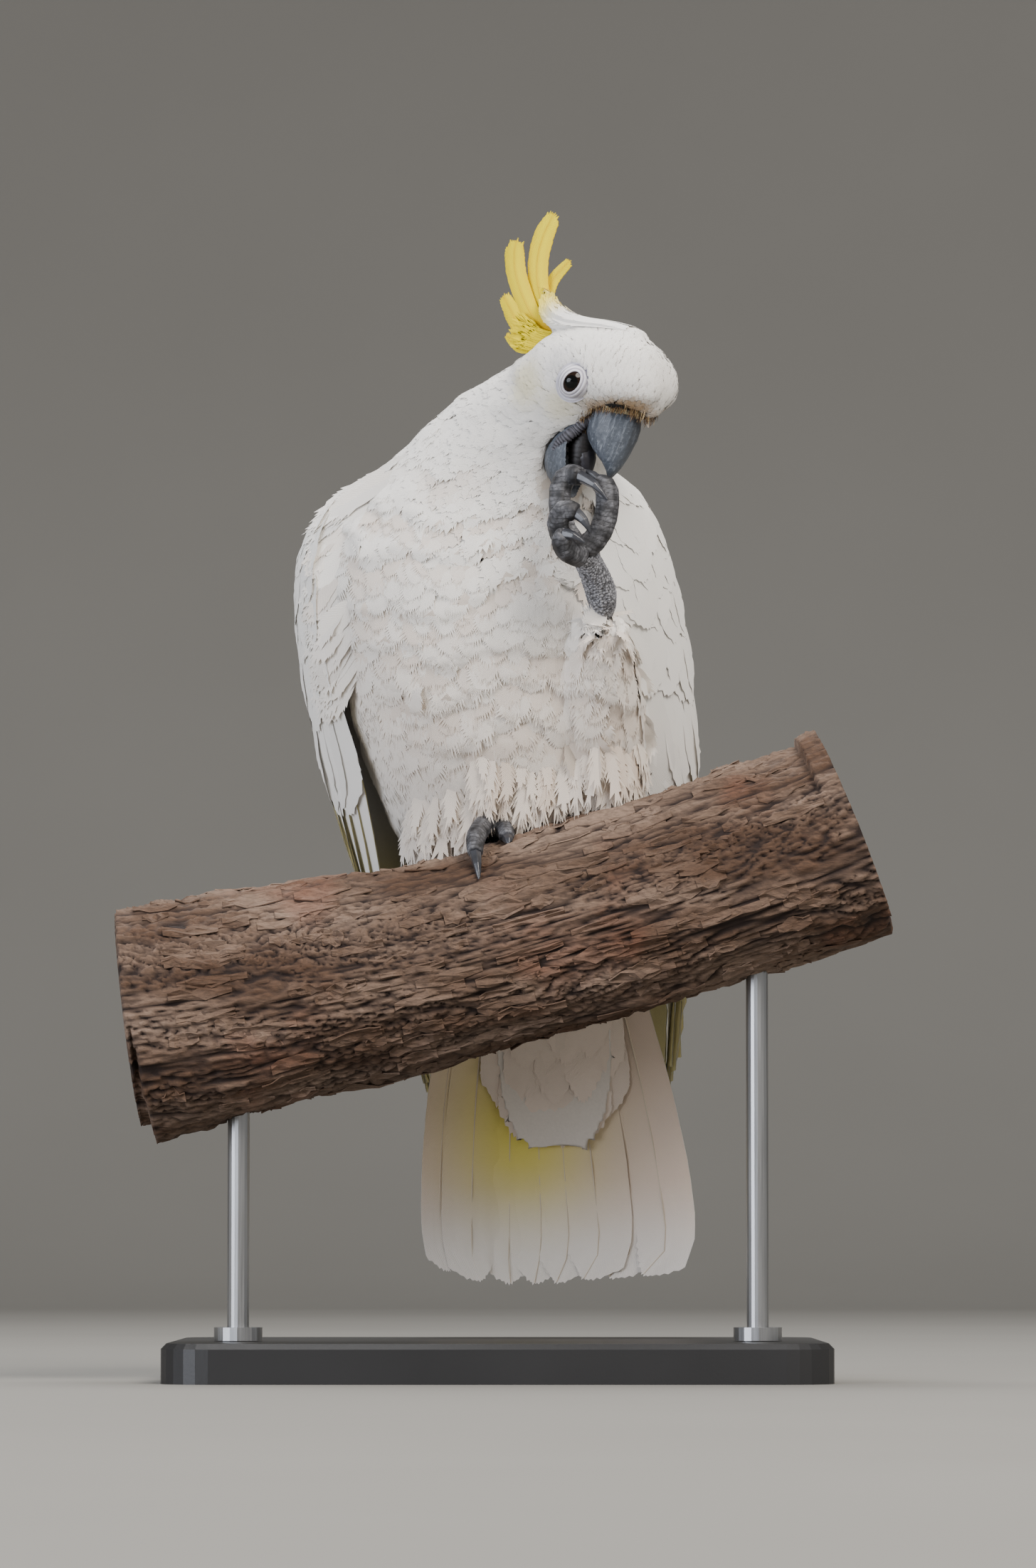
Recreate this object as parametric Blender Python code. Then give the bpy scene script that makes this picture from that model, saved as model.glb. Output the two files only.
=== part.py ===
"""A life-size still model of a sulphur-crested cockatoo on a cut length of branch.

The bird stands on its right foot and lifts the left one to its open bill. Its head is turned to
its left and bowed. The branch is carried by two rods on a flat base. The origin is the centre of
the base's underside, +Z is up, and the bird faces -Y.

The body, neck and head are modelled whole and then parted with thin cuts. Every other piece is
a loft of its own, and the softer neighbour is carved back round it by GAP.
"""
import math

import bmesh
import bpy
import numpy as np
from mathutils import Matrix, Vector

MM = 0.001
GAP = 0.35 * MM
BODY_FACET = 16 * MM
HEAD_FACET = 10 * MM
FLAT_ANGLE = math.radians(0.7)

# Stand
BASE_WIDTH = 300 * MM
BASE_DEPTH = 220 * MM
BASE_HEIGHT = 18 * MM
BASE_CORNER = 22 * MM
BASE_EDGE = 2.5 * MM
ROD_RADIUS = 5 * MM
ROD_REACH = 118 * MM
ROD_SOCKET = 16 * MM
COLLAR_RADIUS = 11 * MM
COLLAR_HEIGHT = 6 * MM

# Branch: its centre line rises to the bird's left, and it thickens towards both cut ends.
PERCH_Y = -30 * MM
PERCH_Z = 198 * MM
PERCH_SLOPE = 0.262
PERCH_SAG = 0.25
PERCH_REACH = 165 * MM
PERCH_RADIUS = 45.5 * MM

# Body frame: the chest leans and turns a little to the bird's right, and the rump and tail
# hang nearly straight below it.
BODY_PIVOT = Vector((-3.5 * MM, PERCH_Y, 337 * MM))
BODY_LEAN = math.radians(7.4)
TAIL_LEAN = math.radians(2.6)
BODY_TURN = math.radians(-6)
TURN_ABOUT = 30
RUMP_FROM, RUMP_TO = -100, -170

# Head frame: the point between the eyes, and the way that the face is turned and bowed.
HEAD_CENTRE = Vector((43.5 * MM, PERCH_Y - 54 * MM, 448 * MM))
HEAD_TURN = math.radians(60)
HEAD_BOW = math.radians(28)
EYE_SPREAD = 21.3 * MM
EYE_AHEAD = 2.2 * MM
EYE_RADIUS = 7.2 * MM

WHITE = (0.86, 0.83, 0.79)
CREAM = (0.82, 0.77, 0.68)
YELLOW = (0.85, 0.74, 0.16)
HORN = (0.09, 0.10, 0.12)
GREY_SKIN = (0.14, 0.14, 0.15)
CLAW = (0.05, 0.05, 0.06)
EYE = (0.01, 0.008, 0.007)
MOUTH = (0.05, 0.04, 0.04)
BARK = (0.16, 0.08, 0.05)
STEEL = (0.35, 0.35, 0.36)
STAND_BLACK = (0.05, 0.05, 0.05)


def clear_scene():
    for item in list(bpy.data.objects):
        bpy.data.objects.remove(item)


def finish(name, colour, roughness, metallic=0.0):
    """The sub-part's Principled BSDF."""
    material = bpy.data.materials.new(name)
    material.use_nodes = True
    shader = material.node_tree.nodes["Principled BSDF"]
    shader.inputs["Base Color"].default_value = (*colour, 1)
    shader.inputs["Roughness"].default_value = roughness
    shader.inputs["Metallic"].default_value = metallic
    return material


def add_object(name, mesh, material):
    item = bpy.data.objects.new(name, mesh)
    bpy.context.scene.collection.objects.link(item)
    mesh.materials.append(material)
    mesh.shade_smooth()
    return item


def body(x, y, z):
    """A point given in millimetres in the body frame, whose upright bends at the rump."""
    spine = Vector((0, 0, 0))
    steps = 12
    for step in range(steps):
        height = z * (step + 0.5) / steps
        low = min(1, max(0, (RUMP_FROM - height) / (RUMP_FROM - RUMP_TO)))
        lean = BODY_LEAN + (TAIL_LEAN - BODY_LEAN) * low
        spine += Vector((-math.sin(lean), 0, math.cos(lean))) * (z / steps)
    low = min(1, max(0, (RUMP_FROM - z) / (RUMP_FROM - RUMP_TO)))
    lean = BODY_LEAN + (TAIL_LEAN - BODY_LEAN) * low
    turn = BODY_TURN * (1 - low)
    across = x * math.cos(turn) - (y - TURN_ABOUT) * math.sin(turn)
    back = x * math.sin(turn) + (y - TURN_ABOUT) * math.cos(turn) + TURN_ABOUT
    return BODY_PIVOT + (spine + Vector((across * math.cos(lean), back, across * math.sin(lean)))) * MM


def perch(x, y, z):
    """A point in millimetres from the middle of the branch."""
    return Vector((x * MM, PERCH_Y + y * MM, PERCH_Z + z * MM))


def head_axes():
    """The head's forward, up and right directions."""
    turn, bow = HEAD_TURN, HEAD_BOW
    forward = Vector((math.sin(turn) * math.cos(bow), -math.cos(turn) * math.cos(bow), -math.sin(bow)))
    right = Vector((-math.cos(turn), -math.sin(turn), 0))
    return forward, right.cross(forward), right


def head(forward, up, right):
    """A point given in millimetres in the head frame."""
    ahead, above, beside = head_axes()
    return HEAD_CENTRE + (ahead * forward + above * up + beside * right) * MM


def through(rows, count):
    """Count rows, evenly spaced along a Catmull-Rom curve through the given ones."""
    rows = np.array(rows, float)
    padded = np.vstack([2 * rows[0] - rows[1], rows, 2 * rows[-1] - rows[-2]])
    found = []
    for place in np.linspace(0, len(rows) - 1, count):
        index = min(int(place), len(rows) - 2)
        part = place - index
        a, b, c, d = padded[index:index + 4]
        cubic = 3 * b - a - 3 * c + d
        square = 2 * a - 5 * b + 4 * c - d
        found.append(0.5 * (2 * b + (c - a) * part + square * part ** 2 + cubic * part ** 3))
    return found


def loft(name, rings, material, flat_ends=False):
    """A closed solid through rings of equally many points. A flat ring's end is a strip of quads."""
    mesh = bpy.data.meshes.new(name)
    shape = bmesh.new()
    loops = [[shape.verts.new(point) for point in ring] for ring in rings]
    for low, high in zip(loops, loops[1:]):
        for index, corner in enumerate(low):
            after = (index + 1) % len(low)
            shape.faces.new((corner, low[after], high[after], high[index]))
    for end in (loops[0], loops[-1]):
        if flat_ends:
            for index in range(len(end) // 2 - 1):
                shape.faces.new((end[index], end[index + 1], end[-2 - index], end[-1 - index]))
        else:
            shape.faces.new(end)
    bmesh.ops.triangulate(shape, faces=shape.faces)
    bmesh.ops.recalc_face_normals(shape, faces=shape.faces)
    shape.to_mesh(mesh)
    shape.free()
    return add_object(name, mesh, material)


def oval(centre, side, ahead, half_width, front, back, count):
    """A ring with its own depth in front of and behind its centre."""
    ring = []
    for index in range(count):
        angle = 2 * math.pi * index / count
        depth = front if math.cos(angle) > 0 else back
        ring.append(centre + side * (half_width * math.sin(angle)) + ahead * (depth * math.cos(angle)))
    return ring


def tube_rings(points, radii, count, flatness=1.0, up=Vector((0, 0, 1))):
    """Rings across a smooth path, each turned from the last by as little as it takes."""
    rings = []
    side = None
    for index, point in enumerate(points):
        before = points[max(index - 1, 0)]
        after = points[min(index + 1, len(points) - 1)]
        along = (after - before).normalized()
        if side is None:
            side = along.cross(up).normalized()
        side = (side - along * side.dot(along)).normalized()
        depth = along.cross(side)
        rings.append(oval(point, side, depth, radii[index], radii[index] * flatness,
                          radii[index] * flatness, count))
    return rings


def tube(name, nodes, material, steps=9, count=10, flatness=1.0, up=Vector((0, 0, 1))):
    """A limb through nodes of (point, radius in millimetres)."""
    rows = through([[*point, radius * MM] for point, radius in nodes], steps)
    points = [Vector(row[:3]) for row in rows]
    return loft(name, tube_rings(points, [row[3] for row in rows], count, flatness, up), material)


def make_room(item, gap=GAP):
    """Keeps a hidden copy of item whose surface stands off by gap, to cut its neighbours with."""
    shape = bmesh.new()
    shape.from_mesh(item.data)
    shape.normal_update()
    moves = [corner.normal * gap * corner.calc_shell_factor() for corner in shape.verts]
    for corner, move in zip(shape.verts, moves):
        corner.co += move
    mesh = bpy.data.meshes.new("room_" + item.name)
    shape.to_mesh(mesh)
    shape.free()
    room = bpy.data.objects.new("room_" + item.name, mesh)
    bpy.context.scene.collection.objects.link(room)
    room.hide_render = True
    room.display_type = "WIRE"
    return room


def carve(item, rooms):
    """Cuts the rooms of its neighbours out of item."""
    for room in rooms:
        cut = item.modifiers.new(room.name, "BOOLEAN")
        cut.operation = "DIFFERENCE"
        cut.solver = "EXACT"
        cut.object = room
    settle(item)
    tidy(item)


def settle(item):
    """Turns item's modifiers into its mesh."""
    graph = bpy.context.evaluated_depsgraph_get()
    mesh = bpy.data.meshes.new_from_object(item.evaluated_get(graph))
    item.modifiers.clear()
    item.data = mesh


def tidy(item):
    """Keeps the largest body that a cut leaves, and joins slivers in nearly flat places."""
    shape = bmesh.new()
    shape.from_mesh(item.data)
    bodies, seen = [], set()
    for start in shape.faces:
        if start in seen:
            continue
        found, waiting = {start}, [start]
        while waiting:
            for edge in waiting.pop().edges:
                for face in edge.link_faces:
                    if face not in found:
                        found.add(face)
                        waiting.append(face)
        seen |= found
        bodies.append(found)
    largest = max(bodies, key=len)
    crumbs = [face for face in shape.faces if face not in largest]
    bmesh.ops.delete(shape, geom=crumbs, context="FACES")
    bmesh.ops.dissolve_limit(shape, angle_limit=FLAT_ANGLE, verts=shape.verts, edges=shape.edges)
    bmesh.ops.triangulate(shape, faces=shape.faces)
    shape.to_mesh(item.data)
    shape.free()


def unite(name, items, voxel, smoothing, material):
    """One rounded solid from lofts that run into each other."""
    shape = bmesh.new()
    for item in items:
        shape.from_mesh(item.data)
    mesh = bpy.data.meshes.new(name)
    shape.to_mesh(mesh)
    shape.free()
    whole = add_object(name, mesh, material)
    remesh = whole.modifiers.new("remesh", "REMESH")
    remesh.mode = "VOXEL"
    remesh.voxel_size = voxel
    relax = whole.modifiers.new("relax", "SMOOTH")
    relax.factor = 0.5
    relax.iterations = smoothing
    settle(whole)
    return whole


def slab(whole, name, material, cuts):
    """The part of whole between planes, each given as (point, the way that the rest lies)."""
    shape = bmesh.new()
    shape.from_mesh(whole.data)
    for point, outward in cuts:
        normal = outward.normalized()
        every = shape.verts[:] + shape.edges[:] + shape.faces[:]
        bmesh.ops.bisect_plane(shape, geom=every, dist=1e-7, plane_co=point - normal * GAP / 2,
                               plane_no=normal, clear_outer=True)
        rim = [edge for edge in shape.edges if edge.is_boundary]
        bmesh.ops.edgeloop_fill(shape, edges=rim)
    bmesh.ops.triangulate(shape, faces=shape.faces)
    bmesh.ops.recalc_face_normals(shape, faces=shape.faces)
    mesh = bpy.data.meshes.new(name)
    shape.to_mesh(mesh)
    shape.free()
    return add_object(name, mesh, material)


# --- Stand -----------------------------------------------------------------------------------

def rounded_plate(name, width, depth, height, corner, material):
    """The base plate, with round corners and a small chamfer on top."""
    rings = []
    for level, inset in ((0, 0), (height - BASE_EDGE, 0), (height, BASE_EDGE)):
        ring = []
        for quarter in range(4):
            sign_x = 1 if quarter in (0, 3) else -1
            sign_y = 1 if quarter < 2 else -1
            centre = Vector((sign_x * (width / 2 - corner), sign_y * (depth / 2 - corner), level))
            for step in range(7):
                angle = math.pi / 2 * (quarter + step / 6)
                ring.append(centre + Vector((math.cos(angle), math.sin(angle), 0)) * (corner - inset))
        rings.append(ring)
    return loft(name, rings, material)


def branch_centre(x):
    return Vector((x, PERCH_Y, PERCH_Z + PERCH_SLOPE * x + PERCH_SAG * x * x))


def branch_radius(x):
    """Thicker towards the butt on the bird's right, with a slight swelling on its left."""
    return PERCH_RADIUS + 4.5 * MM * max(0, -x / 0.1) ** 1.2 + 1.5 * MM * max(0, x / 0.1)


def make_branch(material):
    rings = []
    across, along_sides = 16, 16
    for index in range(across):
        x = PERCH_REACH * (2 * index / (across - 1) - 1)
        centre = branch_centre(x)
        along = (branch_centre(x + MM) - branch_centre(x - MM)).normalized()
        side = Vector((0, 1, 0))
        above = along.cross(side)
        ring = []
        for step in range(along_sides):
            angle = 2 * math.pi * step / along_sides
            lump = 1.1 * math.sin(3 * angle + 31 * x) + 0.9 * math.sin(5 * angle - 47 * x + 1)
            lump += 0.8 * math.sin(2 * angle + 70 * x + 2)
            radius = branch_radius(x) + lump * MM
            ring.append(centre + side * (radius * math.cos(angle)) + above * (radius * math.sin(angle)))
        rings.append(ring)
    return loft("branch", rings, material)


def make_stand(branch, steel, black):
    base = rounded_plate("stand_base", BASE_WIDTH, BASE_DEPTH, BASE_HEIGHT, BASE_CORNER, black)
    pieces = []
    for word, x in (("right", -ROD_REACH), ("left", ROD_REACH)):
        foot = BASE_HEIGHT + GAP
        top = branch_centre(x).z - branch_radius(x) + ROD_SOCKET
        profile = ((foot, COLLAR_RADIUS), (foot + COLLAR_HEIGHT, COLLAR_RADIUS),
                   (foot + COLLAR_HEIGHT, ROD_RADIUS), (top, ROD_RADIUS))
        rings = [oval(Vector((x, PERCH_Y, level)), Vector((1, 0, 0)), Vector((0, 1, 0)),
                      radius, radius, radius, 20) for level, radius in profile]
        pieces.append(loft("stand_rod_" + word, rings, steel))
    carve(branch, [make_room(piece) for piece in pieces])
    return [base, *pieces]


# --- Trunk, neck and head --------------------------------------------------------------------

# Rows: height, centre's depth, half width, front, back, in the body frame.
TRUNK = (
    (-126, 90, 30, 12, 14),
    (-110, 83, 48, 20, 25),
    (-80, 61, 59, 44, 37),
    (-44, 42, 66.5, 57, 47),
    (0, 25, 72.5, 60, 52),
    (34, 14, 76, 56, 52),
    (58, 7, 73, 49, 48),
    (76, 2, 50, 38, 40),
)
TRUNK_SLANT = 16


def make_trunk_loft(material):
    tilt = math.radians(TRUNK_SLANT)
    rings = []
    for height, depth, width, front, back in through(TRUNK, 20):
        centre = body(0, depth, height)
        side = (body(1, depth, height) - centre) / MM
        ahead = (body(0, depth - math.cos(tilt), height - math.sin(tilt)) - centre) / MM
        rings.append(oval(centre, side, ahead, width * MM, front * MM, back * MM, 28))
    return loft("trunk_loft", rings, material)


# Rows: a point of the neck's middle line, in millimetres from the branch, half width, half depth.
NECK = (
    (-9, 8, 173, 62, 47),
    (-3, 3, 195, 57, 42),
    (8, -6, 216, 48, 36),
    (21, -22, 235, 37, 29.5),
    (33, -43, 247, 27, 26),
)


def make_neck_loft(material):
    rows = through(NECK, 12)
    points = [perch(*row[:3]) for row in rows]
    rings = []
    for index, point in enumerate(points):
        along = points[min(index + 1, len(points) - 1)] - points[max(index - 1, 0)]
        side = along.cross(Vector((0, 1, 0))).normalized()
        ahead = side.cross(along).normalized()
        width, depth = rows[index][3] * MM, rows[index][4] * MM
        rings.append(oval(point, side, ahead, width, depth, depth, 26))
    return loft("neck_loft", rings, material)


# Rows: forward, centre's height, half width, above, below, in the head frame.
HEAD = (
    (-36, -4, 8, 7, 8),
    (-31, -2, 17, 14.5, 16),
    (-18, 1, 24.5, 20, 24),
    (-6, 1, 26.5, 26, 23),
    (4, 2, 27, 29, 16),
    (14, 3, 27, 29, 9.5),
    (24, 5, 25, 25, 8.5),
    (32, 7, 20.5, 19, 12),
    (37, 8, 14.5, 13, 11),
    (40, 8.5, 7, 6.5, 6.5),
)


def make_head_loft(material):
    rings = []
    ahead, above, beside = head_axes()
    for forward, height, width, top, bottom in through(HEAD, 17):
        rings.append(oval(head(forward, height, 0), beside, above, width * MM, top * MM, bottom * MM, 26))
    return loft("head_loft", rings, material)


# --- Bill, mouth and eyes --------------------------------------------------------------------

# Rows: the culmen's forward and height, the cutting edge's forward and height, half width.
UPPER_BILL = (
    (18, 5, 4, -5, 8.5),
    (24.5, -1, 6.2, -9.5, 9.6),
    (29.5, -5.5, 6, -14.5, 10.2),
    (31.2, -12, 7, -19, 10),
    (31.0, -19, 11, -23.5, 8.8),
    (30.2, -25.5, 17, -27, 6.8),
    (29, -30.5, 23, -30, 4),
    (27.4, -35, 25.8, -34.4, 1.1),
)


def make_upper_bill(material):
    """Rings from the cere to the hooked tip, each narrower at the culmen than at its cutting edge."""
    beside = head_axes()[2]
    rings = []
    for top_forward, top_height, low_forward, low_height, width in through(UPPER_BILL, 12):
        culmen, edge = head(top_forward, top_height, 0), head(low_forward, low_height, 0)
        middle, reach = (culmen + edge) / 2, (culmen - edge) / 2
        ring = []
        for step in range(14):
            angle = 2 * math.pi * step / 14
            taper = 1 - 0.16 * math.cos(angle)
            ring.append(middle + reach * math.cos(angle) + beside * (width * MM * taper * math.sin(angle)))
        rings.append(ring)
    return loft("bill_upper", rings, material)


# The open jaw, a scoop. Rows: its outer side's forward and height, its rim's, half width.
LOWER_BILL = (
    (-3, -22, 5, -15, 9),
    (-6.2, -29, 4.6, -22.5, 10.4),
    (-7.6, -36.5, 6, -29, 10.8),
    (-5.6, -43, 8.5, -35, 9.8),
    (-0.5, -47.6, 10.6, -41, 8.2),
    (6, -50.4, 12.4, -46.2, 5.8),
    (11.4, -51, 13.6, -49.6, 2.4),
)


def make_lower_bill(material):
    """Each ring is a thick crescent that opens towards the tongue."""
    beside = head_axes()[2]
    rings = []
    for out_forward, out_height, rim_forward, rim_height, width in through(LOWER_BILL, 12):
        chin, rim = head(out_forward, out_height, 0), head(rim_forward, rim_height, 0)
        outward = chin - rim
        ring = []
        for step in range(9):
            angle = math.pi * step / 8
            ring.append(rim + outward * math.sin(angle) - beside * (width * MM * math.cos(angle)))
        for step in range(1, 6):
            angle = math.pi * (1 - step / 6)
            inside = rim + outward * (0.5 * math.sin(angle))
            ring.append(inside - beside * (0.8 * width * MM * math.cos(angle)))
        rings.append(ring)
    return loft("bill_lower", rings, material)


def make_tongue(material):
    nodes = [(head(4, -19, 0), 3), (head(8, -25, 0), 4.8), (head(12, -31.5, 0), 5.4),
             (head(15.5, -37, 0), 2.6)]
    return tube("tongue", nodes, material, steps=7, count=10, flatness=0.8)


def make_cere(material):
    """The saddle of skin across the root of the bill, with the nostrils in it."""
    beside = head_axes()[2]
    rings = []
    for step in range(11):
        share = 2 * step / 10 - 1
        across = 9.8 * math.sin(share * 1.5)
        centre = head(26 - 8.5 * share * share, -0.4 - 4.6 * share * share, across)
        outward = head_axes()[0] * 0.8 + head_axes()[1] * 0.6
        inward = beside.cross(outward)
        size = (3.6 - 1.4 * abs(share)) * MM
        rings.append(oval(centre, inward, outward, size, size, size, 10))
    return loft("cere", rings, material)


def make_eye(name, sign, material):
    centre = head(EYE_AHEAD / MM, 0, sign * EYE_SPREAD / MM)
    mesh = bpy.data.meshes.new(name)
    shape = bmesh.new()
    bmesh.ops.create_icosphere(shape, subdivisions=2, radius=EYE_RADIUS, matrix=Matrix.Translation(centre))
    shape.to_mesh(mesh)
    shape.free()
    return add_object(name, mesh, material)


# --- Crest -----------------------------------------------------------------------------------

# The white feathers that lie back over the crown. Rows: forward, height, half width, half depth.
CREST_CAP = (
    (9, 30, 5, 2),
    (-4, 26.5, 8.5, 3.2),
    (-18, 21.5, 9, 4),
    (-29, 18.5, 8, 5),
    (-37, 19.5, 6.6, 5),
    (-42, 23.5, 4.6, 3.4),
    (-44, 28, 2.4, 1.6),
)
# The recurved plumes: sideways place, greatest half width, then forward and height down the shaft.
PLUMES = {
    "front": (-3.4, 2.9, ((-34, 18), (-41, 20), (-45, 26), (-46, 34), (-42.5, 44))),
    "tall": (0.8, 4.6, ((-28, 16), (-41, 20), (-50, 28), (-56, 39), (-58, 50), (-57.5, 59.5))),
    "middle": (3.2, 4.2, ((-26, 14), (-40, 12.5), (-53, 20), (-62, 28.5), (-66.5, 36), (-68, 41.5))),
    "inner": (-2.6, 3.2, ((-26, 12), (-42, 11.5), (-57, 20), (-65.5, 27.5), (-70, 33))),
    "low": (2.0, 3.2, ((-22, 15), (-38, 6), (-50, 8.5), (-57.5, 13), (-63, 16.5))),
    "nape": (-1.0, 2.6, ((-24, 12), (-38, 2.5), (-46, 1), (-51, 3), (-54, 6))),
}


def plume_rings(points, widths, depth, beside, grow):
    """Flat ovals, broad across the shaft in the plane of the crest."""
    rings = []
    for index, point in enumerate(points):
        along = points[min(index + 1, len(points) - 1)] - points[max(index - 1, 0)]
        broad = along.cross(beside).normalized()
        half = widths[index] + grow
        rings.append(oval(point, broad, beside, half, depth + grow, depth + grow, 6))
    return rings


def crest_pieces(material, grow=0.0):
    """The cap and plumes, each as a solid of its own, grown by grow."""
    ahead, above, beside = head_axes()
    items = []
    rows = through(CREST_CAP, 9)
    rings = []
    for index, (forward, height, width, depth) in enumerate(rows):
        step = rows[min(index + 1, len(rows) - 1)] - rows[max(index - 1, 0)]
        along = (ahead * step[0] + above * step[1]).normalized()
        centre = head(forward, height, 0)
        if index in (0, len(rows) - 1):
            centre += along * (grow if index else -grow)
        size = depth * MM + grow
        rings.append(oval(centre, beside, beside.cross(along), width * MM + grow, size, size, 10))
    items.append(loft("crest_cap", rings, material))
    for name, (place, width, shaft) in PLUMES.items():
        points = [head(forward, height, place * (0.4 + 0.6 * min(1, index / 6)))
                  for index, (forward, height) in enumerate(through(shaft, 8))]
        widths = [width * MM * (0.5 + 0.5 * math.sin(math.pi * min(1, 0.1 + index / 7)) ** 0.6)
                  for index in range(8)]
        points[0] += (points[0] - points[1]).normalized() * grow
        points[-1] += (points[-1] - points[-2]).normalized() * grow
        rings = plume_rings(points, widths, 1.1 * MM, beside, grow)
        items.append(loft("plume_" + name, rings, material))
    return items


def make_crest(material):
    """One solid, and the grown pieces that make room for it."""
    first, *others = crest_pieces(material)
    for other in others:
        join = first.modifiers.new("join", "BOOLEAN")
        join.operation = "UNION"
        join.solver = "EXACT"
        join.object = other
    settle(first)
    for other in others:
        bpy.data.objects.remove(other)
    first.name = "crest"


def make_crest_room():
    """Each piece of the crest, grown, as a hidden solid to cut the head with."""
    rooms = crest_pieces(bpy.data.materials["crest_yellow"], GAP)
    for room in rooms:
        room.name = "room_" + room.name
        room.hide_render = True
        room.display_type = "WIRE"
    return rooms


# --- Wings and tail --------------------------------------------------------------------------

# Rows: height, centre's depth, half width, front, back, first and last angle from the breast
# round to the spine, thickness.
WING = (
    (75, 6, 58, 36, 44, 74, 118, 4),
    (56, 9, 77, 50, 54, 60, 140, 10),
    (22, 18, 85, 58, 58, 55, 155, 13),
    (-12, 30, 86.5, 56, 56, 53, 162, 12),
    (-46, 44, 85, 50, 50, 47, 169, 10),
    (-82, 58, 80, 42, 44, 52, 173, 8),
    (-118, 75, 73, 32, 38, 62, 174, 6.5),
    (-152, 94, 67, 22, 30, 72, 166, 5),
    (-186, 113, 61.5, 12, 20, 80, 144, 3.6),
    (-214, 125, 59.5, 8, 12, 86, 108, 2.2),
)
WING_FORWARD = {"left": -8, "right": 6}
WING_SPREAD = {"left": 2.5, "right": 0}
RIGHT_TIP_TUCK = 0.2


def make_wing(side, material):
    """A curved shell round the side of the trunk, from the shoulder to the wing tip."""
    across = 10
    rings = []
    for height, depth, width, front, back, first, last, thick in through(WING, 15):
        first += WING_FORWARD[side] * min(1, max(0, (height + 200) / 90))
        width += WING_SPREAD[side]
        if side == "right":
            width *= 1 - RIGHT_TIP_TUCK * min(1, max(0, (-120 - height) / 90))
        sign = 1 if side == "left" else -1
        outer, inner = [], []
        for step in range(across):
            share = step / (across - 1)
            angle = math.radians(first + (last - first) * share)
            wall = thick * (0.25 + 0.75 * math.sin(math.pi * (0.12 + 0.76 * share)))
            for ring, inset in ((outer, 0), (inner, wall)):
                reach = (front if math.cos(angle) > 0 else back) - inset
                ring.append(body(sign * (width - inset) * math.sin(angle),
                                 depth - reach * math.cos(angle), height))
        rings.append(outer + inner[::-1])
    return loft("wing_" + side, rings, material, flat_ends=True)


TAIL_ROOT = (6, 82, -104)
TAIL_SLOPE = 19
TAIL_LENGTH = 208
TAIL_HALF_ROOT = 27
TAIL_HALF_END = 62
TAIL_THICKNESS = 3.2
TAIL_FEATHERS = 12
TAIL_ARCH = 9


def tail_half(share):
    """The fan opens quickly at the root, then slowly."""
    return TAIL_HALF_ROOT + (TAIL_HALF_END - TAIL_HALF_ROOT) * (1 - (1 - min(1, share)) ** 3)


def tail_point(share, across, lift=0.0):
    """A point of the tail: share of its length, across from -1 to 1, lift off its underside."""
    slope = math.radians(TAIL_SLOPE)
    half = tail_half(share)
    down = TAIL_LENGTH * share
    arch = TAIL_ARCH * across * across - lift
    return body(
        TAIL_ROOT[0] + half * across,
        TAIL_ROOT[1] + down * math.sin(slope) - arch * math.cos(slope),
        TAIL_ROOT[2] - down * math.cos(slope) - arch * math.sin(slope),
    )


def make_tail(material):
    """Twelve broad feathers seen as one plate, with a rounded tip to each."""
    columns = TAIL_FEATHERS * 2
    rings = []
    for row in range(7):
        share = row / 6
        front, rear = [], []
        for column in range(columns + 1):
            across = 2 * column / columns - 1
            place = across * TAIL_FEATHERS / 2 % 1
            scallop = 0.012 * abs(2 * place - 1)
            end = 1 - 0.045 * across * across - 0.055 * abs(across) ** 8 - scallop
            reach = share * (1 - (1 - end) * share ** 3)
            front.append(tail_point(reach, across, 0))
            rear.append(tail_point(reach, across, TAIL_THICKNESS))
        rings.append(front + rear[::-1])
    return loft("tail", rings, material, flat_ends=True)


# Rows: share of the tail's length, half width, thickness.
UNDERTAIL = ((0.0, 24, 12), (0.2, 30, 13), (0.4, 32, 10), (0.52, 30, 6.5), (0.6, 25, 4), (0.65, 15, 1.8))
UNDERTAIL_SHIFT = 4
UPPERTAIL = ((0.0, 26, 14), (0.15, 31, 12), (0.3, 30, 8), (0.42, 22, 4), (0.48, 12, 1.6))


def make_tail_coverts(name, rows, below, material):
    """A thin cushion of coverts on one face of the tail."""
    slope = math.radians(TAIL_SLOPE)
    rings = []
    for share, half, thick in through(rows, 8):
        down = TAIL_LENGTH * share
        ring = []
        for step in range(16):
            angle = 2 * math.pi * step / 16
            across = half * math.cos(angle) + (UNDERTAIL_SHIFT if below else 0)
            arch = TAIL_ARCH * (across / tail_half(share)) ** 2
            off = 2 * GAP / MM + thick * max(0, math.sin(angle))
            lift = -off if below else TAIL_THICKNESS + off
            away = arch - lift
            ring.append(body(TAIL_ROOT[0] + across,
                             TAIL_ROOT[1] + down * math.sin(slope) - away * math.cos(slope),
                             TAIL_ROOT[2] - down * math.cos(slope) - away * math.sin(slope)))
        rings.append(ring)
    return loft(name, rings, material)


# --- Legs ------------------------------------------------------------------------------------

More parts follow.
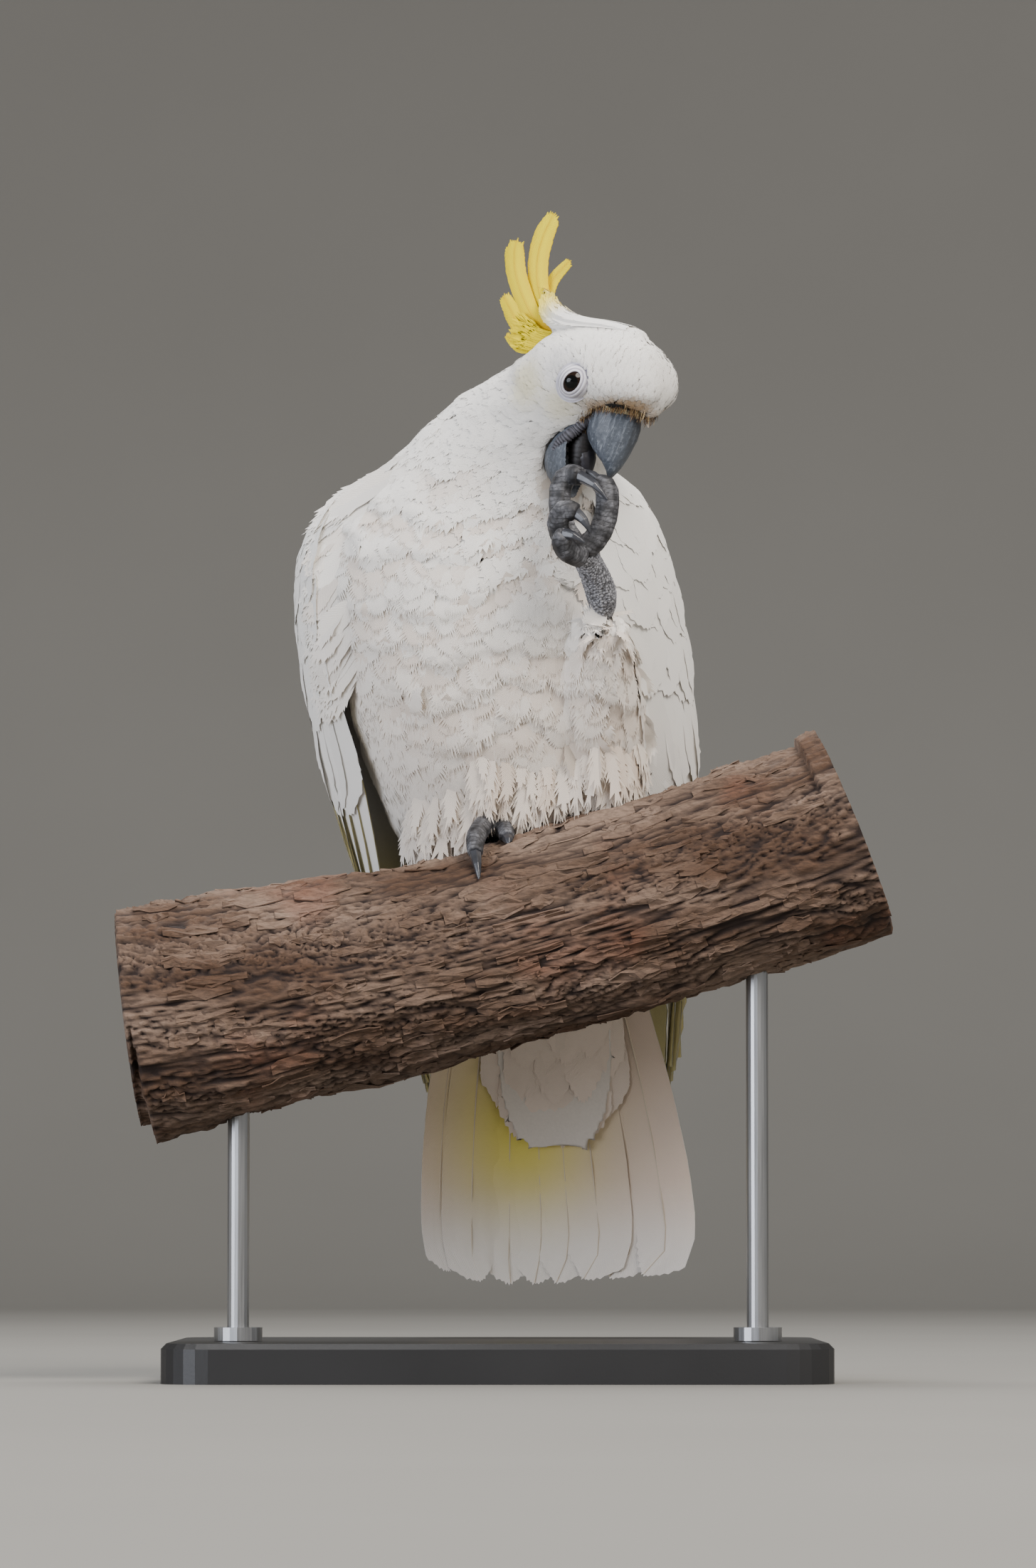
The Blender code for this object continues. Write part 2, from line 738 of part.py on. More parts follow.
# The lifted left leg, and the right leg on the branch. Nodes: (point, radius).
LIFTED_THIGH = ((42, 22, 88), 26), ((43, 6, 106), 25), ((44.5, -11, 122), 20), ((46.8, -27, 136), 13.5), \
    ((47.5, -37, 146), 8.8)
LIFTED_SHANK = ((47.4, -37, 148), 4.8), ((47.2, -43, 153.5), 6.9), ((45.6, -48, 159.5), 7.1), \
    ((42, -57, 167), 6.4), ((38, -65, 173), 6)
LIFTED_TOES = {
    "toe_3": (((35, -67, 175.9), 4.6), ((29.6, -67, 184.4), 4.3), ((27.8, -65, 193.4), 4.2),
              ((28.4, -64, 202.9), 4.3), ((31.8, -65, 207.9), 4.2), ((36.4, -69, 207), 3.8)),
    "toe_2": (((39, -67, 174.9), 5), ((44.4, -68, 179.4), 4.8), ((48, -69, 186.9), 4.6),
              ((49.2, -69, 195.6), 4.6), ((48.4, -68, 201.9), 4.5), ((45.6, -66, 204), 3.9)),
    "toe_4": (((34.6, -70, 174.4), 4.6), ((28.4, -76, 179.4), 4.2), ((27, -80, 185.8), 4.2),
              ((30.4, -83, 190.2), 4.1), ((34.6, -84, 189), 3.6)),
    "toe_1": (((36.4, -70, 170.9), 4.6), ((31.4, -77, 172), 4.3), ((28.6, -82, 176), 4.0),
              ((29.6, -85, 179), 3.4)),
}
LIFTED_CLAWS = {
    "toe_3": ((36.4, -69, 207), (43.5, -73.5, 202.4), (49.2, -75, 195.5)),
    "toe_2": ((45.6, -66, 204), (42.6, -65, 207.8), (38.2, -64.5, 210.4)),
    "toe_4": ((34.6, -84, 189), (38.6, -86.6, 184.9), (41.4, -87, 179.2)),
    "toe_1": ((29.6, -85, 179), (34, -87.6, 178), (38.9, -88.5, 174.8)),
}
CLAW_RADII = (2.9, 2.2, 0.5)
STANDING_THIGH = ((-14, 30, 92), 30), ((-11, 22, 76), 26), ((-6, 14, 63), 16), ((-4, 11, 58.5), 10)
STANDING_SHANK = ((-4, 12, 60), 5.6), ((-3.6, 10.5, 58), 6.2), ((-3, 8.5, 56), 6.4), ((-2.6, 7, 54.5), 5.8)
STANDING_TOES = {
    "toe_3": (((-3.4, 6, 55), 4.7), ((-5.6, -4, 55), 4.7), ((-8.8, -14, 51.2), 4.6), ((-10.2, -22, 46), 4.3),
              ((-10.2, -28, 40.4), 3.5)),
    "toe_2": (((-1.6, 6, 54.5), 4.5), ((1.2, 0, 54.4), 4.4), ((3.2, -7, 51.6), 4.2), ((4, -12, 48.6), 3.4)),
    "toe_1": (((-2, 9, 54), 4.4), ((1.5, 19, 49.5), 4.2), ((4.5, 28, 43), 4.0), ((6, 33, 38), 3.3)),
    "toe_4": (((-4.6, 10, 54.4), 4.6), ((-9, 20, 50), 4.5), ((-13, 31, 42.5), 4.3),
              ((-15, 39.5, 32.5), 4.0), ((-15.6, 43.4, 25), 3.4)),
}
STANDING_CLAWS = {
    "toe_3": ((-10.2, -28, 40.4), (-9.3, -33, 34.8), (-8.4, -36.5, 27.4)),
    "toe_2": ((4, -12, 48.6), (4.8, -15.6, 46.6), (5, -18, 43.6)),
    "toe_1": ((6, 33, 38), (7.6, 37.4, 32.6), (8, 40, 26)),
    "toe_4": ((-15.6, 43.4, 25), (-16.2, 46.8, 17.6), (-16, 48, 10)),
}


def make_foot(side, shank, toes, claws, skin, horn):
    """The scaly shank of one leg, four toes and their claws, and the room that each takes."""
    shank_item = tube("shank_" + side, [(perch(*point), radius) for point, radius in shank], skin,
                      steps=7, count=10)
    made, rooms = [shank_item], [make_room(shank_item)]
    for toe, nodes in toes.items():
        item = tube(f"{toe}_{side}", [(perch(*point), radius) for point, radius in nodes], skin,
                    steps=8, count=7)
        room = make_room(item)
        carve(item, rooms)
        made.append(item)
        rooms.append(room)
    for toe, points in claws.items():
        nodes = [(perch(*point), radius) for point, radius in zip(points, CLAW_RADII)]
        item = tube(f"claw_{toe[-1]}_{side}", nodes, horn, steps=5, count=6)
        room = make_room(item)
        carve(item, rooms)
        made.append(item)
        rooms.append(room)
    return made, rooms


def main():
    clear_scene()
    plumage = finish("plumage", WHITE, 0.8)
    flight = finish("flight_feathers", CREAM, 0.6)
    yellow = finish("crest_yellow", YELLOW, 0.7)
    horn = finish("bill_horn", HORN, 0.45)
    skin = finish("grey_skin", GREY_SKIN, 0.7)
    claw = finish("claw_horn", CLAW, 0.35)
    glossy = finish("eye_gloss", EYE, 0.05)
    mouth = finish("mouth", MOUTH, 0.5)
    bark = finish("bark", BARK, 0.9)
    steel = finish("stand_steel", STEEL, 0.3, 1.0)
    black = finish("stand_black", STAND_BLACK, 0.4)

    branch = make_branch(bark)
    stand = make_stand(branch, steel, black)

    lofts = [make_trunk_loft(plumage), make_neck_loft(plumage), make_head_loft(plumage)]
    body_core = unite("body_core", lofts, BODY_FACET, 2, plumage)
    head_core = unite("head_core", lofts, HEAD_FACET, 4, plumage)
    for item in lofts:
        bpy.data.objects.remove(item)
    neck_base = body(2, 4, 52)
    head_base = head(-22, -16, 0)
    upward = (head(-14, -10, 0) - body(0, 8, 40)).normalized()
    toward_head = (head_axes()[0] * 0.38 + head_axes()[1] * 0.92).normalized()
    trunk = slab(body_core, "trunk", plumage, [(neck_base, upward)])
    neck = slab(body_core, "neck", plumage, [(neck_base, -upward), (head_base, toward_head)])
    head_item = slab(head_core, "head", plumage, [(head_base, -toward_head)])
    bpy.data.objects.remove(body_core)
    bpy.data.objects.remove(head_core)

    wings = [make_wing("left", flight), make_wing("right", flight)]
    tail = make_tail(flight)
    undertail = make_tail_coverts("undertail_coverts", UNDERTAIL, True, plumage)
    uppertail = make_tail_coverts("uppertail_coverts", UPPERTAIL, False, plumage)
    upper = make_upper_bill(horn)
    lower = make_lower_bill(horn)
    tongue = make_tongue(mouth)
    cere = make_cere(skin)
    make_crest(yellow)
    eyes = [make_eye("eye_right", 1, glossy), make_eye("eye_left", -1, glossy)]
    thighs = [tube("thigh_left", [(perch(*point), radius) for point, radius in LIFTED_THIGH], plumage,
                   steps=8, count=16),
              tube("thigh_right", [(perch(*point), radius) for point, radius in STANDING_THIGH], plumage,
                   steps=7, count=16)]
    lifted, lifted_rooms = make_foot("left", LIFTED_SHANK, LIFTED_TOES, LIFTED_CLAWS, skin, claw)
    standing, standing_rooms = make_foot("right", STANDING_SHANK, STANDING_TOES, STANDING_CLAWS, skin, claw)

    crest_room = make_crest_room()
    branch_room, cere_room, upper_room, lower_room, tongue_room, tail_room = [
        make_room(item) for item in (branch, cere, upper, lower, tongue, tail)]
    wide_tail_room = make_room(tail, 3 * GAP)
    eye_rooms = [make_room(item) for item in eyes]
    wing_rooms = [make_room(item) for item in wings]
    covert_rooms = [make_room(undertail), make_room(uppertail)]
    thigh_rooms = [make_room(item) for item in thighs]

    for item in standing:
        carve(item, [branch_room])
    carve(cere, [upper_room])
    carve(tongue, [upper_room, lower_room])
    carve(lower, [upper_room])
    carve(head_item, [upper_room, lower_room, tongue_room, cere_room, *eye_rooms, *crest_room])
    carve(neck, [upper_room, lower_room, tongue_room, *crest_room, *wing_rooms, thigh_rooms[0],
                 lifted_rooms[0]])
    for wing in wings:
        carve(wing, [branch_room, tail_room, *covert_rooms])
    carve(thighs[0], [lifted_rooms[0], *wing_rooms])
    carve(thighs[1], [branch_room, *standing_rooms])
    carve(trunk, [*wing_rooms, *covert_rooms, wide_tail_room, *thigh_rooms, branch_room, *standing_rooms])


main()
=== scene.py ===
"""A still, life-size model of a sulphur-crested cockatoo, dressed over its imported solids.

The bird stands on its right foot on a cut length of branch and holds its left foot to its open
bill. The solids give every place and size. This script adds one skin, the coat of separate
feathers, the flight feathers, the crest, the scaly feet, the horn of the bill, the bark and a
plain studio. Lengths are in metres unless a name ends in _MM.
"""
import math
from itertools import product

import bmesh
import bpy
import numpy as np
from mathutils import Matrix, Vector, noise
from mathutils.bvhtree import BVHTree


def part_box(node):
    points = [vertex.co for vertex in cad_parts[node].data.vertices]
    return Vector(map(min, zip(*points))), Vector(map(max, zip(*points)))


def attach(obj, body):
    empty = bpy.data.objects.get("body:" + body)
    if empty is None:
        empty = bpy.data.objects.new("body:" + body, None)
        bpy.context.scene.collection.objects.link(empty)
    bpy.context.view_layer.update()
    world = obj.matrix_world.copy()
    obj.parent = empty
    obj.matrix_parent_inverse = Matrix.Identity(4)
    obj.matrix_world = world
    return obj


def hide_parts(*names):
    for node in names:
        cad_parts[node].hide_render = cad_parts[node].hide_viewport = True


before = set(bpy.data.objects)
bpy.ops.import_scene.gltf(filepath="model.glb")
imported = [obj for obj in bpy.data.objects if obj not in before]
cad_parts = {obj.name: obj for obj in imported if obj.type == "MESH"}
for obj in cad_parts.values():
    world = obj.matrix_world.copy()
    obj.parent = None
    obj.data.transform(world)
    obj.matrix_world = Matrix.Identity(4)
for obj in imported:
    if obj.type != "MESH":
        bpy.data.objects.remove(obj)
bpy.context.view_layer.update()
MM = 0.001

# --- Studio ----------------------------------------------------------------------------------
# A sheet of pale grey background paper, swept up behind the stand, under three soft lights. The
# camera is low and looks a little upwards at the bird, as from the ground under a branch.

PAPER_FRONT, PAPER_BACK, PAPER_HALF_WIDTH, PAPER_TOP = -5.0, 4.4, 9.0, 7.0
PAPER_BEND = 1.1
CAMERA_DISTANCE = 3.0
CAMERA_RISE = math.radians(4)
CAMERA_AIM = Vector((0.0091, -0.030, 0.2716))
FRAME_HEIGHT = 0.716


def linear(code):
    """An sRGB hex colour as a linear RGBA value."""
    parts = [int(code[place:place + 2], 16) / 255 for place in (1, 3, 5)]
    return [part / 12.92 if part <= 0.04045 else ((part + 0.055) / 1.055) ** 2.4 for part in parts] + [1.0]


def add(tree, kind, inputs=None, **settings):
    """Adds a shader node, sets its settings, and sets or links its inputs."""
    node = tree.nodes.new("ShaderNode" + kind)
    for name, value in settings.items():
        setattr(node, name, value)
    for name, value in (inputs or {}).items():
        if isinstance(value, bpy.types.NodeSocket):
            tree.links.new(value, node.inputs[name])
        else:
            node.inputs[name].default_value = value
    return node


def plug(shader, **sockets):
    """Links each output to the shader's input of that name."""
    for name, output in sockets.items():
        shader.id_data.links.new(output, shader.inputs[name.replace("_", " ")])


def new_material(name, **finish):
    """A material with an empty tree but for its Principled shader, whose constants are in finish."""
    material = bpy.data.materials.new(name)
    material.use_nodes = True
    tree = material.node_tree
    tree.nodes.clear()
    shader = add(tree, "BsdfPrincipled", {key.replace("_", " "): value for key, value in finish.items()})
    add(tree, "OutputMaterial", {"Surface": shader.outputs["BSDF"]})
    return material, tree, shader


def placed(name, data):
    """An object in the scene with that mesh, light or camera."""
    item = bpy.data.objects.new(name, data)
    bpy.context.scene.collection.objects.link(item)
    return item


def new_piece(name, points, faces, material, smooth=True):
    """A mesh object made from points and faces."""
    mesh = bpy.data.meshes.new(name)
    mesh.from_pydata([tuple(point) for point in points], [], [tuple(face) for face in faces])
    mesh.update()
    if smooth:
        mesh.shade_smooth()
    mesh.materials.append(material)
    return placed(name, mesh)


def make_paper():
    material, tree, shader = new_material("background_paper", Roughness=0.9)
    place = add(tree, "TexCoord").outputs["Object"]
    fibre = add(tree, "TexNoise", {"Vector": place, "Scale": 3.0, "Detail": 4.0}).outputs["Fac"]
    tone = add(tree, "Mix", {0: fibre, 6: linear("#807e79"), 7: linear("#878580")}, data_type="RGBA")
    plug(shader, Base_Color=tone.outputs[2])
    profile = [(PAPER_FRONT, 0), (PAPER_BACK - PAPER_BEND, 0)]
    for step in range(1, 13):
        angle = math.pi / 2 * step / 12
        profile.append((PAPER_BACK - PAPER_BEND + PAPER_BEND * math.sin(angle),
                        PAPER_BEND * (1 - math.cos(angle))))
    profile.append((PAPER_BACK, PAPER_TOP))
    points = [(side * PAPER_HALF_WIDTH, y, z) for y, z in profile for side in (-1, 1)]
    faces = [(2 * row, 2 * row + 1, 2 * row + 3, 2 * row + 2) for row in range(len(profile) - 1)]
    paper = new_piece("background_paper", points, faces, material)


def make_light(name, place, size, watts, colour):
    light = bpy.data.lights.new(name, "AREA")
    light.shape = "DISK"
    light.size = size
    light.energy = watts
    light.color = linear(colour)[:3]
    item = placed(name, light)
    item.location = place
    item.rotation_euler = (CAMERA_AIM - Vector(place)).to_track_quat("-Z", "Y").to_euler()


def make_camera():
    lens = bpy.data.cameras.new("camera")
    lens.sensor_width = 36
    lens.lens = lens.sensor_width * CAMERA_DISTANCE / FRAME_HEIGHT
    lens.clip_start = 0.05
    item = placed("camera", lens)
    away = Vector((0, -math.cos(CAMERA_RISE), -math.sin(CAMERA_RISE)))
    item.location = CAMERA_AIM + away * CAMERA_DISTANCE
    item.rotation_euler = (math.pi / 2 + CAMERA_RISE, 0, 0)
    bpy.context.scene.camera = item


make_paper()
make_light("key_softbox", (1.4, -2.3, 2.6), 2.0, 158, "#fff8f0")
make_light("fill_softbox", (-2.2, -2.2, 0.6), 2.2, 92, "#eef3ff")
make_light("top_softbox", (-0.2, 0.7, 2.7), 1.8, 72, "#ffffff")
make_camera()
world = bpy.data.worlds.new("studio_air")
world.use_nodes = True
world.node_tree.nodes["Background"].inputs["Color"].default_value = linear("#e6e6e6")
world.node_tree.nodes["Background"].inputs["Strength"].default_value = 0.5
bpy.context.scene.world = world

# --- Stand -----------------------------------------------------------------------------------
# A board base in satin black paint, rolled on, which leaves a faint orange peel, and two turned
# steel rods with collars, which are brushed along and lacquered.


def dress_stand():
    paint, tree, shader = new_material("satin_black_paint", IOR=1.5)
    place = add(tree, "TexCoord").outputs["Object"]
    peel_mm = 1.6
    peel = add(tree, "TexNoise", {"Vector": place, "Scale": 1 / (peel_mm * MM), "Detail": 2.0}).outputs["Fac"]
    smear = add(tree, "TexNoise", {"Vector": place, "Scale": 9.0, "Detail": 5.0}).outputs["Fac"]
    sheen = add(tree, "MapRange", {"Value": smear, "To Min": 0.34, "To Max": 0.5}).outputs["Result"]
    tone = add(tree, "Mix", {0: smear, 6: linear("#1b1b1c"), 7: linear("#262627")}, data_type="RGBA")
    bump = add(tree, "Bump", {"Height": peel, "Strength": 0.15, "Distance": 0.0003}).outputs["Normal"]
    plug(shader, Base_Color=tone.outputs[2], Roughness=sheen, Normal=bump)
    steel, tree, shader = new_material("brushed_steel", Metallic=1.0)
    place = add(tree, "TexCoord").outputs["Object"]
    drawn = add(tree, "Mapping", {"Vector": place, "Scale": (1, 1, 0.02)}).outputs["Vector"]
    line_mm = 0.8  # coarser than real brush lines, so that they show
    lines = add(tree, "TexNoise", {"Vector": drawn, "Scale": 1 / (line_mm * MM),
                                   "Detail": 3.0}).outputs["Fac"]
    tone = add(tree, "Mix", {0: lines, 6: linear("#8f9092"), 7: linear("#b9babb")}, data_type="RGBA")
    sheen = add(tree, "MapRange", {"Value": lines, "To Min": 0.28, "To Max": 0.45}).outputs["Result"]
    plug(shader, Base_Color=tone.outputs[2], Roughness=sheen)
    for name, finish in (("stand_base", paint), ("stand_rod_left", steel), ("stand_rod_right", steel)):
        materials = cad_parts[name].data.materials
        materials.clear()
        materials.append(finish)


dress_stand()

# --- Branch ----------------------------------------------------------------------------------
# A cut length of a living limb in rough red-brown bark, which splits along the limb into long
# fissured plates whose edges lift and flake. The two sawn ends are bare wood with growth rings.

BARK_ROWS, BARK_SIDES = 300, 320
BARK_DEPTH_MM = 3.0
FLAKE_COUNT = 460


def welded(names):
    """The solids of those nodes as one bmesh, with their split corners joined again."""
    shape = bmesh.new()
    for name in names:
        shape.from_mesh(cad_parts[name].data)
    bmesh.ops.remove_doubles(shape, verts=shape.verts, dist=1e-6)
    return shape


def surface_tree(names):
    """A tree for finding points on the solids of those nodes."""
    shape = welded(names)
    tree = BVHTree.FromBMesh(shape)
    shape.free()
    return tree


def fissure(x, across, up):
    """How deep the bark is at that place: 0 in a crack and 1 on a plate."""
    warp = noise.noise(Vector((x * 26, across * 0.8, up * 0.8))) * 0.9
    long = noise.noise(Vector((x * 17 + warp, across * 3.1, up * 3.1)))
    fine = noise.noise(Vector((x * 34 + warp, across * 7.6, up * 7.6)))
    cross = noise.noise(Vector((x * 60, across * 2.4 + warp, up * 2.4)))
    crack = min(abs(long) * 4.6, abs(fine) * 3.0 + 0.34, abs(cross) * 2.6 + 0.42)
    return min(1.0, crack)


def turns(sides):
    """Evenly spaced angles round a ring."""
    return [2 * math.pi * step / sides for step in range(sides)]


def tube_faces(rows, sides):
    """The faces between rows of corners that each run round a tube."""
    return [(row * sides + step, row * sides + (step + 1) % sides, (row + 1) * sides + (step + 1) % sides,
             (row + 1) * sides + step) for row in range(rows - 1) for step in range(sides)]


def store_values(item, name, values):
    layer = item.data.attributes.new(name, "FLOAT", "POINT")
    layer.data.foreach_set("value", np.asarray(values, float).ravel())


def make_bark_material():
    bark, tree, shader = new_material("shaggy_bark", Roughness=0.88)
    place = add(tree, "TexCoord").outputs["Object"]
    depth = add(tree, "Attribute", attribute_name="plate").outputs["Fac"]
    along = add(tree, "Mapping", {"Vector": place, "Scale": (0.3, 1, 1),
                                  "Rotation": (0, 0.25, 0)}).outputs["Vector"]
    patch = add(tree, "TexNoise", {"Vector": along, "Scale": 26.0, "Detail": 5.0}).outputs["Fac"]
    fibre_mm = 1.1
    fibre = add(tree, "TexNoise", {"Vector": along, "Scale": 1 / (fibre_mm * MM), "Detail": 4.0,
                                   "Roughness": 0.7}).outputs["Fac"]
    grey = add(tree, "MapRange", {"Value": patch, "From Min": 0.42, "From Max": 0.64}).outputs["Result"]
    plate = add(tree, "Mix", {0: grey, 6: linear("#58402f"), 7: linear("#8a7464")}, data_type="RGBA")
    brown_patch = add(tree, "TexNoise", {"Vector": place, "Scale": 17.0, "Detail": 3.0}).outputs["Fac"]
    red = add(tree, "MapRange", {"Value": brown_patch, "From Min": 0.56, "From Max": 0.76,
                                 "To Max": 0.5}).outputs["Result"]
    raw = add(tree, "Mix", {0: red, 6: plate.outputs[2], 7: linear("#7a4630")}, data_type="RGBA")
    fibres = add(tree, "MapRange", {"Value": fibre, "From Min": 0.25, "From Max": 0.7,
                                    "To Min": 0.45, "To Max": 1.15}).outputs["Result"]
    toned = add(tree, "Mix", {0: 1.0, 6: raw.outputs[2], 7: fibres}, data_type="RGBA", blend_type="MULTIPLY")
    # Cracks painted near black: partly the darker bark deep in the fissures and partly painted shade.
    open_crack = add(tree, "MapRange", {"Value": depth, "From Min": 0.12, "From Max": 0.62}).outputs["Result"]
    shade = add(tree, "Mix", {0: open_crack, 6: linear("#20120c"), 7: toned.outputs[2]}, data_type="RGBA")
    bump = add(tree, "Bump", {"Height": fibre, "Strength": 0.6, "Distance": 0.0008}).outputs["Normal"]
    plug(shader, Base_Color=shade.outputs[2], Normal=bump)
    return bark


def make_sawn_wood_material():
    wood, tree, shader = new_material("sawn_wood", Roughness=0.75)
    place = add(tree, "TexCoord").outputs["Object"]
    reach = add(tree, "Attribute", attribute_name="from_heart").outputs["Fac"]
    wobble = add(tree, "TexNoise", {"Vector": place, "Scale": 40.0, "Detail": 3.0}).outputs["Fac"]
    ring_mm = 2.4
    turns = add(tree, "Math", {0: reach, 1: 2 * math.pi / ring_mm}, operation="MULTIPLY").outputs[0]
    wave = add(tree, "Math", {0: turns, 1: wobble}, operation="ADD").outputs[0]
    rings = add(tree, "Math", {0: wave}, operation="SINE").outputs[0]
    share = add(tree, "MapRange", {"Value": rings, "From Min": -1.0}).outputs["Result"]
    tone = add(tree, "Mix", {0: share, 6: linear("#a8845f"), 7: linear("#c8a67c")}, data_type="RGBA")
    plug(shader, Base_Color=tone.outputs[2])
    return wood


def limb_curve(solid, low, high):
    """The limb's middle line, as a quadratic of x, and its mean radius."""
    middle_y = (low.y + high.y) / 2
    heights, radii = [], []
    places = np.linspace(low.x * 0.82, high.x * 0.82, 30)
    for x in places:
        share = (x - low.x) / (high.x - low.x)
        inside = Vector((x, middle_y, low.z + (high.z - low.z) * (0.28 + 0.44 * share)))
        top, bottom = [solid.ray_cast(inside, Vector((0, 0, sign)))[0].z for sign in (1, -1)]
        heights.append((top + bottom) / 2)
        radii.append((top - bottom) / 2)
    return np.polyfit(places, heights, 2), float(np.mean(radii))


def make_branch():
    low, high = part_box("branch")
    solid = surface_tree(["branch"])
    middle_y = (low.y + high.y) / 2
    curve, radius = limb_curve(solid, low, high)
    slope = np.polyder(curve)
    first_x = low.x + radius * 1.06 * math.sin(math.atan(np.polyval(slope, low.x)))
    last_x = high.x - radius * math.sin(math.atan(np.polyval(slope, high.x)))
    bark = make_bark_material()
    points, plates, centres = [], [], []
    reach = radius
    for row in range(BARK_ROWS):
        x = first_x + (last_x - first_x) * row / (BARK_ROWS - 1)
        centre = Vector((x, middle_y, np.polyval(curve, x)))
        centres.append(centre)
        along = Vector((1, 0, np.polyval(slope, x))).normalized()
        above = along.cross(Vector((0, 1, 0)))
        for turn in turns(BARK_SIDES):
            away = Vector((0, math.cos(turn), 0)) + above * math.sin(turn)
            hit = solid.ray_cast(centre + away * 0.2, -away)[0]
            reach = (hit - centre).length if hit else reach
            if not 9 < row < BARK_ROWS - 9:
                reach = max(reach, radius)
            ring = Vector((math.cos(turn), math.sin(turn), 0)) * 1.6
            wide = 5.2 * noise.noise(Vector((x * 5, ring.x * 0.8, ring.y * 0.8)))
            depth = fissure(x, wide + ring.x * 1.9, ring.y * 1.9)
            grain = noise.noise(Vector((x * 120, ring.x * 22, ring.y * 22)))
            stand_off = 0.9 - BARK_DEPTH_MM * (1 - depth) + 0.45 * grain
            points.append(centre + away * (reach + stand_off * MM))
            plates.append(depth * (0.8 + 0.5 * max(-0.5, grain)))
    faces = tube_faces(BARK_ROWS, BARK_SIDES)
    ends = len(points)
    points += [centres[0], centres[-1]]
    plates += [1.0, 1.0]
    last = (BARK_ROWS - 1) * BARK_SIDES
    cut_faces = [(ends, (step + 1) % BARK_SIDES, step) for step in range(BARK_SIDES)]
    cut_faces += [(ends + 1, last + step, last + (step + 1) % BARK_SIDES) for step in range(BARK_SIDES)]
    branch = new_piece("branch_bark", points, faces + cut_faces, bark)
    branch.data.materials.append(make_sawn_wood_material())
    for face in branch.data.polygons[len(faces):]:
        face.material_index = 1
        face.use_smooth = False
    store_values(branch, "plate", plates)
    store_values(branch, "from_heart", [radius / MM] * ends + [0.0, 0.0])
    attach(branch, "root")
    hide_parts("branch")
    make_flakes(centres, points, bark)


def make_flakes(centres, points, bark):
    """Thin curled scales of bark whose front edges stand off the limb."""
    random = np.random.default_rng(4)
    flake_points, flake_faces, plates = [], [], []
    rows, columns = 6, 4
    for _ in range(FLAKE_COUNT):
        row = int(random.integers(8, BARK_ROWS - 30))
        step = int(random.integers(0, BARK_SIDES))
        length = int(random.integers(8, 30))
        width = int(random.integers(4, 9))
        lift = random.uniform(0.3, 1.2)
        first = len(flake_points)
        for i in range(rows):
            for j in range(columns):
                place_row = min(BARK_ROWS - 1, row + int(length * i / (rows - 1)))
                ragged = 0.15 * random.uniform(-1, 1)
                narrowing = 1 - 0.5 * abs(2 * i / (rows - 1) - 1)
                place_step = int(step + width * (j / (columns - 1) - 0.5 + ragged) * narrowing)
                base = points[place_row * BARK_SIDES + place_step % BARK_SIDES]
                outward = (base - centres[place_row]).normalized()
                edge = abs(2 * j / (columns - 1) - 1) * abs(2 * i / (rows - 1) - 1)
                flake_points.append(base + outward * (lift * (0.5 + 0.9 * edge) * MM))
                plates.append(0.55 + 0.5 * random.uniform())
        for i in range(rows - 1):
            for j in range(columns - 1):
                corner = first + i * columns + j
                flake_faces.append((corner, corner + 1, corner + columns + 1, corner + columns))
    flakes = new_piece("bark_flakes", flake_points, flake_faces, bark, smooth=False)
    shell = flakes.modifiers.new("thickness", "SOLIDIFY")
    shell.thickness = 0.5 * MM
    store_values(flakes, "plate", plates)
    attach(flakes, "root")


make_branch()

# --- Skin ------------------------------------------------------------------------------------
# One unbroken skin of thin pale flesh under the whole coat, from the forehead to the tail. The
# solids reach to the tips of the plumage, so the skin lies inside them by the coat's depth.

FLESH = ["trunk", "neck", "head", "thigh_left", "thigh_right", "undertail_coverts", "uppertail_coverts"]
SKIN_FACET_MM = 2.0
SWAG_MM, SWAG_DEPTH_MM = 21, 2.2
BELLY_HEIGHT = 0.26
HEAD_TURN, HEAD_BOW = math.radians(60), math.radians(28)
TAIL_WAY = np.array((0.05, 0.30, -0.95))


def middle(name):
    low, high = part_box(name)
    return (low + high) / 2


eye_middles = {side: middle("eye_" + side) for side in ("left", "right")}
head_middle = (eye_middles["left"] + eye_middles["right"]) / 2
head_forward = Vector((math.sin(HEAD_TURN) * math.cos(HEAD_BOW), -math.cos(HEAD_TURN) * math.cos(HEAD_BOW),
                       -math.sin(HEAD_BOW)))
head_right = Vector((-math.cos(HEAD_TURN), -math.sin(HEAD_TURN), 0))
head_up = head_right.cross(head_forward)
bill_root = np.array(middle("cere") - head_forward * 0.008 - head_up * 0.004)


def in_head(forward_mm, up_mm, right_mm):
    """A point of the head from its middle between the eyes."""
    return head_middle + (head_forward * forward_mm + head_up * up_mm + head_right * right_mm) * MM


mouth_places = [in_head(2 + 2 * step, -21 - 5 * step, 0) for step in range(4)]


def rgb(code):
    """The three colour values of linear, for sums with arrays of points."""
    return np.array(linear(code)[:3])


def unit(vectors):
    return vectors / np.maximum(np.linalg.norm(vectors, axis=-1, keepdims=True), 1e-9)


def smoothstep(low, high, values):
    share = np.clip((np.asarray(values, float) - low) / (high - low), 0, 1)
    return share * share * (3 - 2 * share)


def distance_to(points, place):
    return np.linalg.norm(points - np.array(place), axis=-1)


def read_rows(data, key, width, kind=float):
    """The values that a mesh keeps under that key, as rows of that width."""
    values = np.empty(len(data) * width, kind)
    data.foreach_get(key, values)
    return values.reshape(-1, width)


# The white cap: forward, height, half width and half depth along its middle.
CAP_MM = ((11, 29.2, 4, 1.4), (9, 30, 5, 2), (-4, 26.5, 8.5, 3.2), (-18, 21.5, 9, 4), (-29, 18.5, 8, 5),
          (-37, 19.5, 6.6, 5), (-42, 23.5, 4.6, 3.4), (-44, 28, 2.4, 1.6))
CAP_STATIONS = 41


